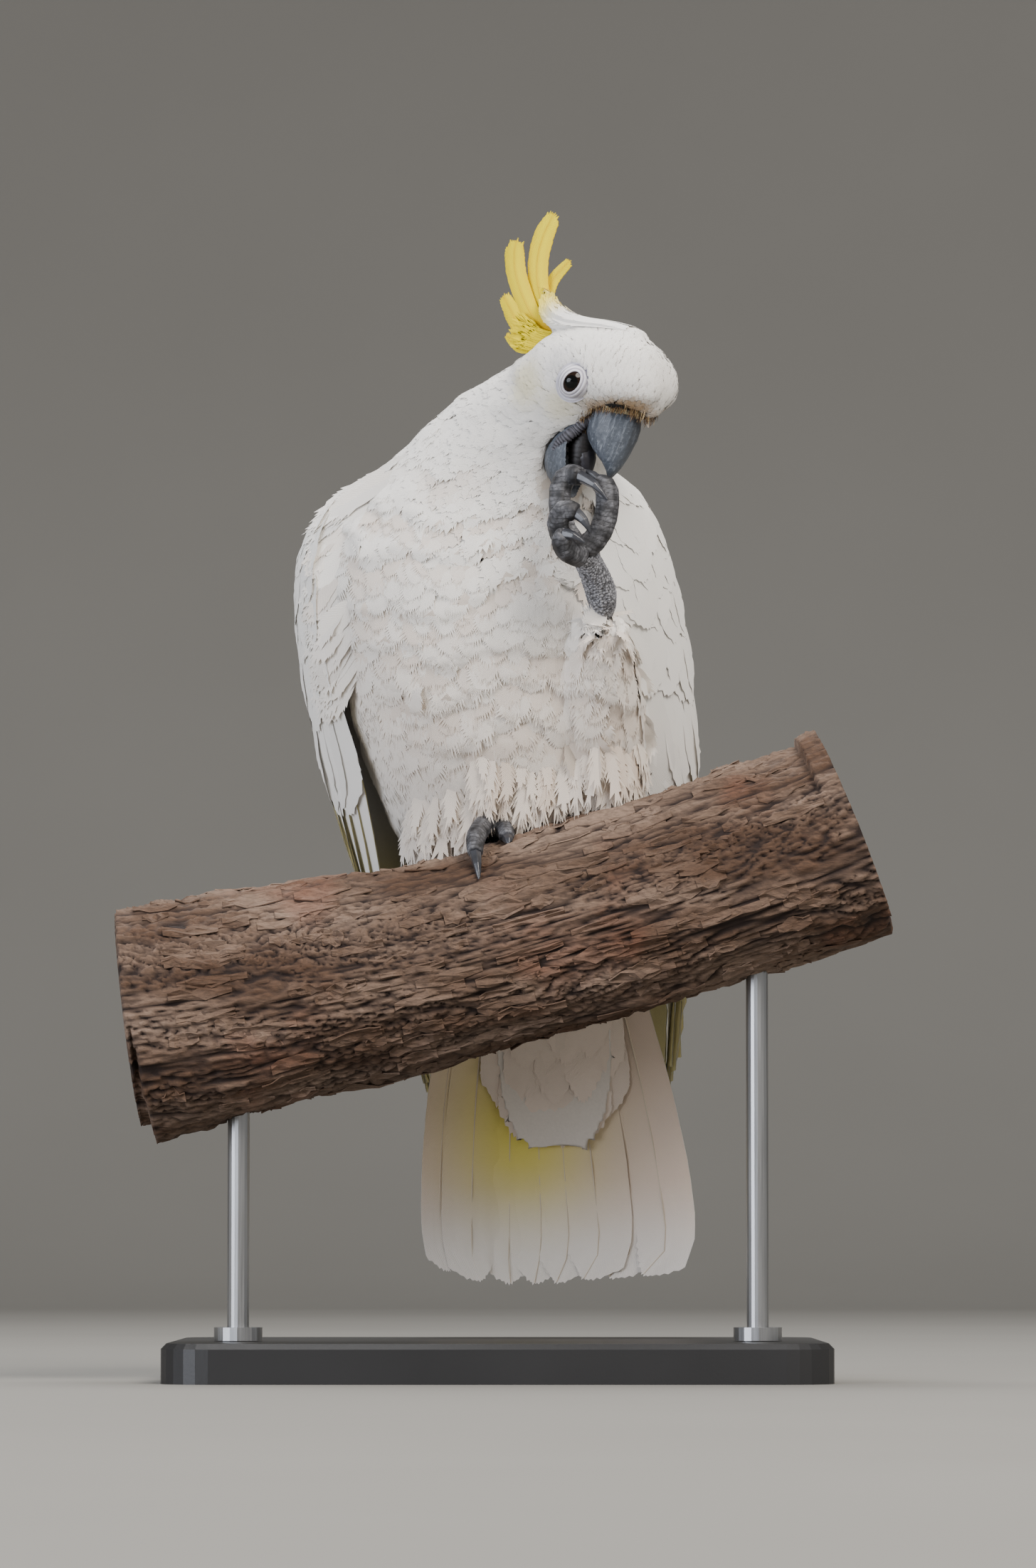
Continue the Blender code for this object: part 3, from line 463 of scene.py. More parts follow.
def through(rows, count):
    """Evenly spaced rows along a smooth curve through the given ones."""
    rows = np.array(rows, float)
    padded = np.vstack([2 * rows[0] - rows[1], rows, 2 * rows[-1] - rows[-2]])
    found = []
    for place in np.linspace(0, len(rows) - 1, count):
        index = min(int(place), len(rows) - 2)
        part = place - index
        a, b, c, d = padded[index:index + 4]
        found.append(0.5 * (2 * b + (c - a) * part + (2 * a - 5 * b + 4 * c - d) * part ** 2
                            + (3 * b - a - 3 * c + d) * part ** 3))
    return np.array(found)


def cap_ring(path, station):
    """Middle, tangent, outward way, half width and half depth at one place along the cap."""
    low = min(int(station), len(path) - 2)
    forward, height, width, depth = path[low] + (path[low + 1] - path[low]) * (station - low)
    step = path[low + 1] - path[low]
    tangent = (head_forward * step[0] + head_up * step[1]).normalized()
    outward = head_right.cross(tangent)
    if outward.dot(head_up) < 0:
        outward = -outward
    return in_head(forward, height, 0), outward, width, depth


def cap_shell():
    """The cap as a closed tube, which is fused with the skin of the crown."""
    path, sides, corners = through(CAP_MM, CAP_STATIONS), 18, []
    for station in range(CAP_STATIONS):
        centre, outward, width, depth = cap_ring(path, station)
        for turn in turns(sides):
            corners.append(centre + head_right * (width * math.cos(turn) * MM)
                           + outward * (depth * math.sin(turn) * MM))
    ends = [tuple(range(sides)), tuple(range((CAP_STATIONS - 1) * sides, CAP_STATIONS * sides))]
    return corners, tube_faces(CAP_STATIONS, sides) + ends


def coat_depth(points):
    """How far the skin lies inside the tips of the coat there."""
    from_head = distance_to(points, head_middle)
    return np.interp(from_head, (0.022, 0.035, 0.06, 0.10, 0.16), (0.0010, 0.0016, 0.003, 0.005, 0.006))


def way_of_coat(points, normals):
    """The direction that feathers lie in: back from the bill, down the body, and down each leg."""
    from_bill = unit(points - bill_root)
    from_head = distance_to(points, head_middle)
    body_way = unit(0.55 * unit(points - np.array(head_middle)) + TAIL_WAY)
    on_body = smoothstep(0.035, 0.105, from_head)[:, None]
    way = unit(from_bill) * (1 - on_body) + body_way * on_body
    for side in ("left", "right"):
        knee = np.array(middle("thigh_" + side))
        ankle = np.array(middle("shank_" + side))
        leg_way = unit((ankle - knee)[None])
        near = smoothstep(0.034, 0.014, distance_to(points, ankle))[:, None]
        way = way * (1 - near) + leg_way * near
    way -= normals * np.sum(way * normals, axis=1, keepdims=True)
    return unit(way)


def swag_at(points):
    """How far each place lies out on its swag of breast plumage, 0.5 away from the breast."""
    body = smoothstep(0.43, 0.39, points[:, 2]) * smoothstep(0.23, 0.26, points[:, 2]) \
        * smoothstep(-0.02, -0.05, points[:, 1])
    waves = []
    for place in map(Vector, points.tolist()):
        drift = noise.noise(place / 0.04)
        bow = 0.35 * abs(math.sin(place.x / MM / 13 + 2 * drift))
        waves.append(((place.z / MM / SWAG_MM + 0.8 * drift + bow) % 1) ** 0.8)
    return 0.5 + body * (0.5 - np.array(waves))


def tint_of(points):
    """The markings and painted shade: white, with cream below that is partly painted shade, yellow on
    the ears and breast, a brown stain round the bill, and painted shade in the swag hollows, round and
    under the bill, behind the eyes and in a crease by the lifted thigh.
    """
    white = rgb("#f7f4ee")
    cream = rgb("#efe2d3")
    yellow = rgb("#f3e6a2")
    brown_patch = rgb("#a5814f")
    # Cream below: partly the bird's own cream and partly painted shade of the underside.
    creamy = smoothstep(0.40, BELLY_HEIGHT, points[:, 2]) * smoothstep(0.03, -0.06, points[:, 1])
    creamy = 0.75 * np.maximum(creamy, smoothstep(0.2, 0.14, points[:, 2]))[:, None]
    tint = white * (1 - creamy) + cream * creamy
    # Painted shade: the hollows between the swags of breast plumage are painted beige.
    hollow = (0.55 * smoothstep(0.5, 0.12, swag_at(points)))[:, None]
    tint = tint * (1 - hollow) + rgb("#e0cebd") * hollow
    mouth = rgb("#120d0c")
    spots = [(Vector((-0.024, -0.08, 0.415)), 0.020, 0.3, yellow)]
    for side in (-1, 1):
        spots += [(in_head(-26, -12, 20 * side), 0.017, 0.5, yellow),
                  (in_head(-4, -14, 19 * side), 0.012, 0.35, yellow),
                  # Brown round the root of the bill: partly a real stain and partly painted shade under the
                  # forehead feathers.
                  (in_head(11, -6, 13 * side), 0.010, 0.7, brown_patch),
                  (in_head(20, -3, 12.5 * side), 0.011, 0.85, brown_patch),
                  (in_head(28, -1.5, 11 * side), 0.011, 0.85, brown_patch),
                  (in_head(36, -3, 8 * side), 0.011, 0.85, brown_patch),
                  # Painted shadow under the lower bill.
                  (in_head(2, -47, 6 * side), 0.015, 0.65, brown_patch),
                  # Painted shade: grey in the hollow behind and above each eye.
                  (in_head(-10, 6, 22 * side), 0.011, 0.35, rgb("#cccdd0"))]
    # Brown at the front of the bill root: real stain and painted shade, as at the sides.
    spots += [(in_head(38, -7, 0), 0.012, 0.85, brown_patch)]
    sulphur = rgb("#f4e04a")
    spots += [(in_head(-44, 27, 0), 0.011, 0.85, sulphur), (in_head(-47, 9, 0), 0.011, 0.7, sulphur)]
    # Painted shade: warm brown in the crease by the lifted thigh.
    crease = rgb("#c58a55")
    spots += [(Vector((0.036 + 0.001 * step, -0.085 + 0.004 * step, 0.285 - 0.011 * step)),
               0.013, 0.45, crease) for step in range(4)]
    spots += [(place, 0.0095, 1.0, mouth) for place in mouth_places]
    for place, size, strength, colour in spots:
        share = (strength * smoothstep(size, size * 0.25, distance_to(points, place)))[:, None]
        tint = tint * (1 - share) + colour * share
    return tint


class Ground:
    """A surface that feathers grow on, with its points, normals, faces and unwrap."""

    def __init__(self, item):
        mesh = item.data
        self.points = read_rows(mesh.vertices, "co", 3)
        self.normals = read_rows(mesh.vertices, "normal", 3)
        mesh.calc_loop_triangles()
        self.faces = read_rows(mesh.loop_triangles, "vertices", 3, int)
        self.tree = BVHTree.FromPolygons(self.points.tolist(), self.faces.tolist())

    def nearest(self, places):
        """The closest point of the surface to each place, and its smooth normal."""
        found = [self.tree.find_nearest(place) for place in places.tolist()]
        points = np.array([hit[0] for hit in found])
        index = self.faces[[hit[2] for hit in found]]
        near = 1 / (np.linalg.norm(self.points[index] - points[:, None], axis=2) + 1e-5)
        normals = unit(np.sum(self.normals[index] * near[..., None], axis=1))
        return points, normals

    def scatter(self, random, spacing, keep, tries=9.0):
        """Places strewn evenly over the surface, no closer than spacing, where keep allows them."""
        corners = self.points[self.faces]
        across = np.cross(corners[:, 1] - corners[:, 0], corners[:, 2] - corners[:, 0])
        area = np.linalg.norm(across, axis=1) / 2
        wanted = area / spacing(corners.mean(axis=1)) ** 2 * tries
        counts = random.poisson(wanted)
        index = np.repeat(np.arange(len(counts)), counts)
        first, second = random.random(len(index)), random.random(len(index))
        over = first + second > 1
        first[over], second[over] = 1 - first[over], 1 - second[over]
        corner = corners[index]
        places = corner[:, 0] + first[:, None] * (corner[:, 1] - corner[:, 0]) \
            + second[:, None] * (corner[:, 2] - corner[:, 0])
        places = places[keep(places)]
        places = places[random.permutation(len(places))]
        reach = spacing(places)
        cell = float(reach.max())
        cells = np.floor(places / cell).astype(int)
        taken, kept = {}, []
        for number, (place, own, key) in enumerate(zip(places.tolist(), reach.tolist(), cells.tolist())):
            near = (other for dx, dy, dz in product((-1, 0, 1), repeat=3)
                    for other in taken.get((key[0] + dx, key[1] + dy, key[2] + dz), ()))
            if not any((place[0] - other[0]) ** 2 + (place[1] - other[1]) ** 2 + (place[2] - other[2]) ** 2
                       < own * own for other in near):
                taken.setdefault(tuple(key), []).append(place)
                kept.append(number)
        return places[kept]


def make_plumage_material(name, sheen):
    """Keratin barbs, which scatter light softly. The barbs run slantwise off each shaft."""
    material, tree, shader = new_material(name, Roughness=0.72, Specular_IOR_Level=0.25,
                                          Sheen_Weight=sheen, Sheen_Roughness=0.5)
    tint = add(tree, "Attribute", attribute_name="tint").outputs["Color"]
    vane = add(tree, "Attribute", attribute_name="vane").outputs["Vector"]
    parts = add(tree, "SeparateXYZ", {0: vane})
    out = add(tree, "Math", {0: parts.outputs["X"]}, operation="ABSOLUTE").outputs[0]
    lean = add(tree, "Math", {0: out, 1: 1.3}, operation="MULTIPLY").outputs[0]
    along = add(tree, "Math", {0: parts.outputs["Y"], 1: lean}, operation="SUBTRACT").outputs[0]
    ruffle = add(tree, "TexNoise", {"Vector": vane, "Scale": 0.35, "Detail": 3.0}).outputs["Fac"]
    drift = add(tree, "Math", {0: ruffle, 1: 1.6}, operation="MULTIPLY").outputs[0]
    place = add(tree, "Math", {0: along, 1: drift}, operation="ADD").outputs[0]
    barb_mm = 0.9  # wider than real barbs lie, so that they show
    turns = add(tree, "Math", {0: place, 1: 2 * math.pi / barb_mm}, operation="MULTIPLY").outputs[0]
    barb = add(tree, "Math", {0: turns}, operation="SINE").outputs[0]
    fade = add(tree, "MapRange", {"Value": barb, "From Min": -1.0, "To Min": 0.93}).outputs["Result"]
    toned = add(tree, "Mix", {0: 1.0, 6: tint, 7: fade}, data_type="RGBA", blend_type="MULTIPLY").outputs[2]
    bump = add(tree, "Bump", {"Height": barb, "Strength": 0.25, "Distance": 0.00025}).outputs["Normal"]
    plug(shader, Base_Color=toned, Normal=bump)
    return material


def make_skin_material():
    material, tree, shader = new_material("bird_skin", Roughness=0.6)
    place = add(tree, "TexCoord").outputs["Object"]
    tint = add(tree, "Attribute", attribute_name="tint").outputs["Color"]
    pore_mm = 1.2
    pores = add(tree, "TexNoise", {"Vector": place, "Scale": 1 / (pore_mm * MM),
                                   "Detail": 2.0}).outputs["Fac"]
    tone = add(tree, "MapRange", {"Value": pores, "To Min": 0.86, "To Max": 0.98}).outputs["Result"]
    toned = add(tree, "Mix", {0: 1.0, 6: tint, 7: tone}, data_type="RGBA", blend_type="MULTIPLY").outputs[2]
    bump = add(tree, "Bump", {"Height": pores, "Strength": 0.4, "Distance": 0.0004}).outputs["Normal"]
    plug(shader, Base_Color=toned, Normal=bump)
    return material


def fused(name, names, facet_mm, smoothing, material, more=()):
    """The solids of those nodes as one smooth closed mesh, with the thin gaps between them closed."""
    shape = welded(names)
    for points, faces in more:
        corners = [shape.verts.new(point) for point in points]
        for face in faces:
            shape.faces.new([corners[index] for index in face])
        bmesh.ops.recalc_face_normals(shape, faces=shape.faces[:])
    mesh = bpy.data.meshes.new(name)
    shape.to_mesh(mesh)
    shape.free()
    mesh.materials.clear()
    mesh.materials.append(material)
    item = placed(name, mesh)
    fuse = item.modifiers.new("fuse", "REMESH")
    fuse.mode = "VOXEL"
    fuse.voxel_size = facet_mm * MM
    relax = item.modifiers.new("relax", "SMOOTH")
    relax.factor = 0.5
    relax.iterations = smoothing
    graph = bpy.context.evaluated_depsgraph_get()
    final = bpy.data.meshes.new_from_object(item.evaluated_get(graph))
    item.modifiers.clear()
    item.data = final
    final.name = name
    final.shade_smooth()
    return item


def raised(item, heights):
    """Moves each point of item out along its normal by its height."""
    ground = Ground(item)
    moved = ground.points + ground.normals * np.asarray(heights)[:, None]
    item.data.vertices.foreach_set("co", moved.ravel())
    item.data.update()


def paint(item, colours):
    """Sets the tint at each point, over any tint that is there already."""
    layers = item.data.color_attributes
    layer = layers.get("tint") or layers.new("tint", "FLOAT_COLOR", "POINT")
    layer.data.foreach_set("color", np.hstack([colours, np.ones((len(colours), 1))]).ravel())


skin = fused("skin", FLESH, SKIN_FACET_MM, 5, make_skin_material(), [cap_shell()])
raised(skin, (swag_at(Ground(skin).points) - 0.5) * SWAG_DEPTH_MM * MM)
coat_ground = Ground(skin)
raised(skin, -coat_depth(coat_ground.points))
paint(skin, tint_of(coat_ground.points) * 0.92)
bpy.context.view_layer.objects.active = skin
skin.select_set(True)
bpy.ops.object.mode_set(mode="EDIT")
bpy.ops.mesh.select_all(action="SELECT")
bpy.ops.uv.smart_project(angle_limit=math.radians(66), island_margin=0.001)
bpy.ops.object.mode_set(mode="OBJECT")
skin.select_set(False)
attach(skin, "root")
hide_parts(*FLESH)

skin_unwrap = np.zeros((len(skin.data.vertices), 2))
corners_in_order = read_rows(skin.data.loops, "vertex_index", 1, int)[:, 0]
skin_unwrap[corners_in_order] = read_rows(skin.data.uv_layers.active.data, "uv", 2)

# --- Coat ------------------------------------------------------------------------------------
# Contour feathers: each is a cupped vane with a downy root under its neighbours and a soft frayed
# edge. They overlap like shingles, tiny on the face and long on the breast and back.


# The width on the skin's unwrap of each feather's own patch.
PATCH = 0.003


def grow_shafts(ground, roots, lengths, rows, swerve):
    """Stations down each feather, which follow the surface the way that the coat lies."""
    places, normals = ground.nearest(roots)
    stations, ups = [places], [normals]
    for _ in range(rows - 1):
        way = way_of_coat(places, normals)
        side = np.cross(normals, way)
        way = unit(way + side * swerve[:, None])
        step = (lengths / (rows - 1))[:, None]
        found, found_normals = ground.nearest(places + way * step)
        curls = (np.sum((found - places) * way, axis=1, keepdims=True) < 0.55 * step)
        places = np.where(curls, places + way * step, found)
        normals = np.where(curls, normals, found_normals)
        stations.append(places)
        ups.append(normals)
    return np.stack(stations, axis=1), np.stack(ups, axis=1)


def store_vectors(item, name, vectors):
    layer = item.data.attributes.new(name, "FLOAT_VECTOR", "POINT")
    layer.data.foreach_set("vector", np.asarray(vectors, float).ravel())


def vane_piece(name, shafts, ups, halves, tints, outline, material, columns=5, cup=0.16, rounding=0.2,
               root_depth=None, tip_lift=0.0006, roll=None, fray=0.5, seed=0, patches=None, softness=0.0):
    """Feathers as one mesh. shafts and ups give each feather's stations, halves its half widths."""
    random = np.random.default_rng(seed)
    count, rows = shafts.shape[:2]
    share = np.linspace(0, 1, rows)[:, None]
    across = np.linspace(-1, 1, columns + 1)[None, :]
    reach = share * (1 - rounding * across ** 2 * share ** 2)
    place = reach * (rows - 1)
    low = np.minimum(place.astype(int), rows - 2)
    part = (place - low)[None, ..., None]
    along = np.gradient(shafts, axis=1)
    lengths = np.linalg.norm(np.diff(shafts, axis=1), axis=2).sum(axis=1)
    sides = unit(np.cross(ups, unit(along)))
    spots = shafts[:, low] * (1 - part) + shafts[:, low + 1] * part
    side = unit(sides[:, low] * (1 - part) + sides[:, low + 1] * part)
    up = unit(ups[:, low] * (1 - part) + ups[:, low + 1] * part)
    width = np.interp(reach, *outline)[None] * halves[:, None, None]
    root_depth = np.zeros(count) if root_depth is None else root_depth
    rise = -root_depth[:, None, None] * (1 - smoothstep(0, 0.7, reach))[None] \
        + tip_lift * (reach ** 1.6)[None] * random.uniform(0.4, 1.6, (count, 1, 1))
    roll = random.normal(0, 0.06, count) if roll is None else roll
    tilt = across[None] * np.tan(roll)[:, None, None]
    height = rise - cup * width * across[None] ** 2 + tilt * width
    ruffle = random.normal(0, 0.022, (count, rows, columns + 1)) * halves[:, None, None] * share[None]
    points = spots + side * (across[None] * width)[..., None] + up * (height + ruffle)[..., None]
    wide = columns + 1
    corner = np.arange(rows - 1)[:, None] * wide + np.arange(columns)[None]
    quads = np.stack([corner, corner + wide, corner + wide + 1, corner + 1], axis=-1).reshape(-1, 4)
    last = (rows - 1) * wide + np.arange(columns)
    ahead = unit(along[:, -1])[:, None]
    tips = (points[:, -1, :-1] + points[:, -1, 1:]) / 2
    spike = random.uniform(0.02, 0.11, (count, columns, 1)) * fray * lengths[:, None, None] * 2
    splay = side[:, -1, :-1] * (across[0, :-1] + 1 / columns)[None, :, None]
    tips = tips + unit(ahead + 0.5 * splay) * spike
    side_rows = np.arange(max(1, rows // 2), rows - 1)
    fringe = []
    for edge, sign in ((0, -1), (columns, 1)):
        base = (points[:, side_rows, edge] + points[:, side_rows + 1, edge]) / 2
        step = lengths[:, None, None] / (rows - 1)
        push = unit(along[:, side_rows]) * 0.8 + side[:, side_rows, edge] * sign * 0.45
        fringe.append(base + push * step * fray * random.uniform(0.3, 1.1, (count, len(side_rows), 1)))
    grid = rows * wide
    tip_faces = np.stack([last, grid + np.arange(columns), last + 1], axis=-1)
    left = side_rows * wide
    left_faces = np.stack([left, grid + columns + np.arange(len(side_rows)), left + wide], axis=-1)
    right = side_rows * wide + columns
    right_tips = grid + columns + len(side_rows) + np.arange(len(side_rows))
    right_faces = np.stack([right + wide, right_tips, right], axis=-1)
    points = np.concatenate([points.reshape(count, grid, 3), tips, fringe[0], fringe[1]], axis=1)
    each = points.shape[1]
    span_mm = (across * np.interp(reach, *outline))[None] * halves[:, None, None] / MM
    run_mm = reach[None] * lengths[:, None, None] / MM
    flat = np.stack([span_mm, run_mm, random.uniform(0, 40, (count, 1, 1)) + 0 * run_mm], axis=-1)
    flat = flat.reshape(count, grid, 3)
    vane = np.concatenate([flat, flat[:, last] + (0, 1, 0), flat[:, left] + (-1, 1, 0),
                           flat[:, right] + (1, 1, 0)], axis=1)
    # Painted shade: each feather is darker towards its root, where its neighbours cover it.
    shade = np.interp(reach, (0, 0.45, 0.8, 1), (0.86, 0.95, 1.0, 1.0)).reshape(1, grid, 1)
    colour = np.concatenate([tints[:, None] * shade, np.repeat(tints[:, None], each - grid, axis=1)], axis=1)
    starts = (np.arange(count) * each)[:, None, None]
    corners = [(quads[None] + starts).reshape(-1, 4),
               (np.concatenate([tip_faces, left_faces, right_faces])[None] + starts).reshape(-1, 3)]
    item = new_piece(name, points.reshape(-1, 3), corners[0].tolist() + corners[1].tolist(), material)
    mesh = item.data
    paint(item, colour.reshape(-1, 3))
    store_vectors(item, "vane", vane)
    if softness:
        own = read_rows(mesh.vertices, "normal", 3)
        lie = np.broadcast_to(up, (count, rows, wide, 3)).reshape(count, grid, 3)
        lie = np.concatenate([lie, lie[:, last], lie[:, left], lie[:, right]], axis=1).reshape(-1, 3)
        soft = unit(own * (1 - softness) + lie * softness)
        mesh.normals_split_custom_set_from_vertices(soft.tolist())
    if patches is not None:
        patch = np.zeros((count, each, 2))
        within = np.stack([across + 0 * share, 2 * share - 1 + 0 * across], axis=-1)
        patch[:, :grid] = within.reshape(1, grid, 2)
        patch[:, grid:] = (0, 1)
        places = patches[:, None] + patch * (PATCH / 2)
        uv = mesh.uv_layers.new(name="OFBake")
        loops = np.concatenate([corners[0].ravel(), corners[1].ravel()])
        uv.data.foreach_set("uv", places.reshape(-1, 2)[loops].ravel())
    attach(item, "root")
    return item


def patches_at(roots):
    """Where each root lies on the skin's unwrap."""
    found = [coat_ground.tree.find_nearest(root)[2] for root in roots.tolist()]
    corners = coat_ground.faces[found]
    near = np.linalg.norm(coat_ground.points[corners] - roots[:, None], axis=2).argmin(axis=1)
    return skin_unwrap[corners[np.arange(len(corners)), near]]


covert_tree = surface_tree(["undertail_coverts", "uppertail_coverts"])
wing_trees = {side: surface_tree(["wing_" + side]) for side in ("left", "right")}
bare_tree = surface_tree(["bill_upper", "bill_lower", "tongue"])
leg_tree = surface_tree(["shank_left"]
                        + [f"toe_{number}_{side}" for number in range(1, 5) for side in ("left", "right")])
BARE_RIM_MM = 1.1
LID_REACH_MM = 8.0
EYE_LEAN = math.radians(18)
EYE_DEPTH = 0.012
MOUTH_REACH = 0.0085
WING_RIM, WING_GAP = 0.012, 0.03
COVERTS_TOP, COVERTS_RIM = 0.21, 0.004


def under_wing(place, normal):
    """True where a wing lies close over that place on every side of it."""
    side = normal.orthogonal().normalized()
    other = normal.cross(side)
    for shift in (side, -side, other, -other):
        start = place + shift * WING_RIM + normal * 0.001
        if not any(tree.ray_cast(start, normal, WING_GAP)[0] for tree in wing_trees.values()):
            return False
    return True


def eye_axis(sign):
    """The way that the eye on that side looks, out from the head and a little ahead."""
    return (head_right * (sign * math.cos(EYE_LEAN)) + head_forward * math.sin(EYE_LEAN)).normalized()


def bare(places):
    """True for places that carry no feathers: in the mouth, round the eyes, and under the wings."""
    found = []
    _, normals = coat_ground.nearest(places)
    for place, normal in zip(places.tolist(), normals.tolist()):
        place, normal = Vector(place), Vector(normal)
        close = bare_tree.find_nearest(place, BARE_RIM_MM * MM)[0] is not None
        inside = any(tree.ray_cast(place + normal * 0.0003, normal, reach)[0] is not None
                     for tree, reach in ((bare_tree, 0.006), (leg_tree, 0.0015)))
        eyed = False
        for side, sign in (("left", -1), ("right", 1)):
            away, axis = place - eye_middles[side], eye_axis(sign)
            beside = (away - axis * away.dot(axis)).length
            eyed = eyed or (beside < LID_REACH_MM * MM and away.dot(axis) > -EYE_DEPTH)
        mouth = any((place - spot).length < MOUTH_REACH for spot in mouth_places)
        found.append(close or inside or eyed or mouth or under_wing(place, normal))
    return np.array(found, bool)


def region(low, high):
    """Chooses places by their distance from the middle of the head."""
    def keep(places):
        from_head = distance_to(places, head_middle)
        coverts = [place[2] < COVERTS_TOP and covert_tree.find_nearest(place, COVERTS_RIM)[0] is not None
                   for place in places.tolist()]
        return (from_head >= low) & (from_head < high) & ~np.array(coverts, bool)
    return keep


plumage = make_plumage_material("contour_plumage", 0.15)
BODY_OUTLINE = ((0, 0.12, 0.4, 0.7, 0.9, 1), (0.3, 0.65, 0.98, 1.0, 0.82, 0.6))
HEAD_OUTLINE = ((0, 0.3, 0.7, 1), (0.5, 1.0, 0.9, 0.45))


def make_coat(name, low, high, spacing, length, half, rows, columns, seed, **form):
    """A patch of the coat between two distances from the middle of the head."""
    random = np.random.default_rng(seed)
    places = coat_ground.scatter(random, lambda p: spacing(distance_to(p, head_middle)), region(low, high))
    places = places[~bare(places)]
    from_head = distance_to(places, head_middle)
    lengths = length(from_head) * random.uniform(0.85, 1.15, len(places))
    halves = half(from_head) * random.uniform(0.85, 1.15, len(places))
    swerve = random.normal(0, 0.16, len(places))
    roots = places - way_of_coat(*coat_ground.nearest(places)) * (lengths * 0.5)[:, None]
    shafts, ups = grow_shafts(coat_ground, roots, lengths, rows, swerve)
    tints = tint_of(shafts[:, rows * 2 // 3]) * random.uniform(0.955, 1.0, (len(places), 1))
    piece = vane_piece(name, shafts, ups, halves, tints, material=plumage, columns=columns,
                       root_depth=coat_depth(shafts[:, 0]) * 0.45, softness=0.6, seed=seed,
                       patches=patches_at(places), **form)


def ramp(*pairs):
    places = [place for place, _ in pairs]
    values = [value * MM for _, value in pairs]
    return lambda distance: np.interp(distance, places, values)


make_coat("coat_head", 0.0, 0.047, ramp((0.02, 1.45), (0.03, 1.6), (0.047, 2.1)),
          ramp((0.02, 5.5), (0.03, 6.5), (0.047, 9)), ramp((0.02, 0.95), (0.03, 1.15), (0.047, 1.7)),
          4, 2, 11, outline=HEAD_OUTLINE, cup=0.06, rounding=0.3, tip_lift=0.00012, fray=0.9)
make_coat("coat_neck", 0.047, 0.10, ramp((0.047, 2.3), (0.10, 4.2)), ramp((0.047, 9), (0.10, 17)),
          ramp((0.047, 1.9), (0.10, 4.6)), 5, 4, 12, outline=BODY_OUTLINE, cup=0.07, rounding=0.25,
          tip_lift=0.0003, fray=1.1)
make_coat("coat_breast", 0.10, 0.165, ramp((0.10, 4.2), (0.165, 5.4)), ramp((0.10, 17), (0.165, 24)),
          ramp((0.10, 4.6), (0.165, 7.5)), 7, 16, 13, outline=BODY_OUTLINE, cup=0.08, rounding=0.22,
          tip_lift=0.0007, fray=1.15)
make_coat("coat_belly", 0.165, 0.6, ramp((0.165, 5.4), (0.24, 6.4)), ramp((0.165, 24), (0.24, 26)),
          ramp((0.165, 7.5), (0.24, 9)), 7, 16, 14, outline=BODY_OUTLINE, cup=0.08, rounding=0.22,
          tip_lift=0.0008, fray=1.25)

FLANK_TRIES, HEEL_TRIES = 1900, 110
FLANK_SIDES, FLANK_HEIGHTS = (-0.056, 0.092), (0.235, 0.305)
COVERT_COURSES, COVERT_COURSE, COVERT_LENGTH = 5, 0.018, 0.044
DOWN_OUTLINE = ((0, 0.25, 0.55, 0.8, 1), (0.05, 0.5, 1.0, 0.85, 0.35))


def draped(name, starts, ends, ups, bow_mm, half_mm, seed, tints=None, **form):
    """Longer feathers that hang clear of the skin from one place to another."""
    random = np.random.default_rng(seed)
    starts, ends, ups = (np.array(each, float) for each in (starts, ends, ups))
    run = np.linspace(0, 1, 8)[None, :, None]
    shafts = starts[:, None] * (1 - run) + ends[:, None] * run
    shafts = shafts + ups[:, None] * (bow_mm * MM * np.sin(math.pi * run ** 0.8))
    halves = half_mm * MM * random.uniform(0.8, 1.15, len(starts))
    tints = tint_of(shafts[:, 5]) * random.uniform(0.95, 1.0, (len(starts), 1)) if tints is None else tints
    form.setdefault("outline", BODY_OUTLINE)
    piece = vane_piece(name, shafts, np.broadcast_to(ups[:, None], shafts.shape), halves, tints,
                       material=plumage, columns=6, cup=0.1, rounding=0.25, softness=0.6,
                       tip_lift=0.0005, seed=seed, patches=patches_at(shafts[:, 2]), **form)


def seen_from_front(tree, x, z):
    return tree.ray_cast(Vector((x, -0.6, z)), Vector((0, 1, 0)))


def make_shoulder_drape(low, high, seed):
    """Side feathers of the breast, which lap over the front edge of the folded right wing."""
    random = np.random.default_rng(seed)
    wing_tree = wing_trees["right"]
    starts, ends, ups = [], [], []
    for level in np.arange(low, high, 0.0022):
        edge = None
        for x in -np.arange(0.17, 0.0, -0.001):
            wing = seen_from_front(wing_tree, x, level)
            body = seen_from_front(coat_ground.tree, x, level)
            if body[0] is not None and (wing[0] is None or body[0].y < wing[0].y):
                edge = x
                break
        if edge is None:
            continue
        for inward in (3.5, 9.0):
            inward = inward + random.uniform(-2, 2)
            start = seen_from_front(coat_ground.tree, edge + inward * MM, level)
            drop, extra = random.uniform(0.014, 0.024), random.uniform(2, 7)
            end = (None,)
            if start[0] is not None:
                for outward in range(1, 26):
                    end = seen_from_front(wing_tree, edge - outward * MM, level - drop)
                    if end[0] is not None and end[0].y < start[0].y + 0.028:
                        end = seen_from_front(wing_tree, edge - (outward + extra) * MM, level - drop)
                        break
            if start[0] is None or end[0] is None or (end[0] - start[0]).length > 0.05:
                continue
            up = (start[1] + end[1] * 0.6 + Vector((0, -0.4, 0))).normalized()
            starts.append(start[0] - start[1] * 0.0015)
            ends.append(end[0] + end[1] * 0.0022)
            ups.append(up)
    draped("side_drape_right", starts, ends, ups, 1.6, 5.5, seed, fray=0.7)


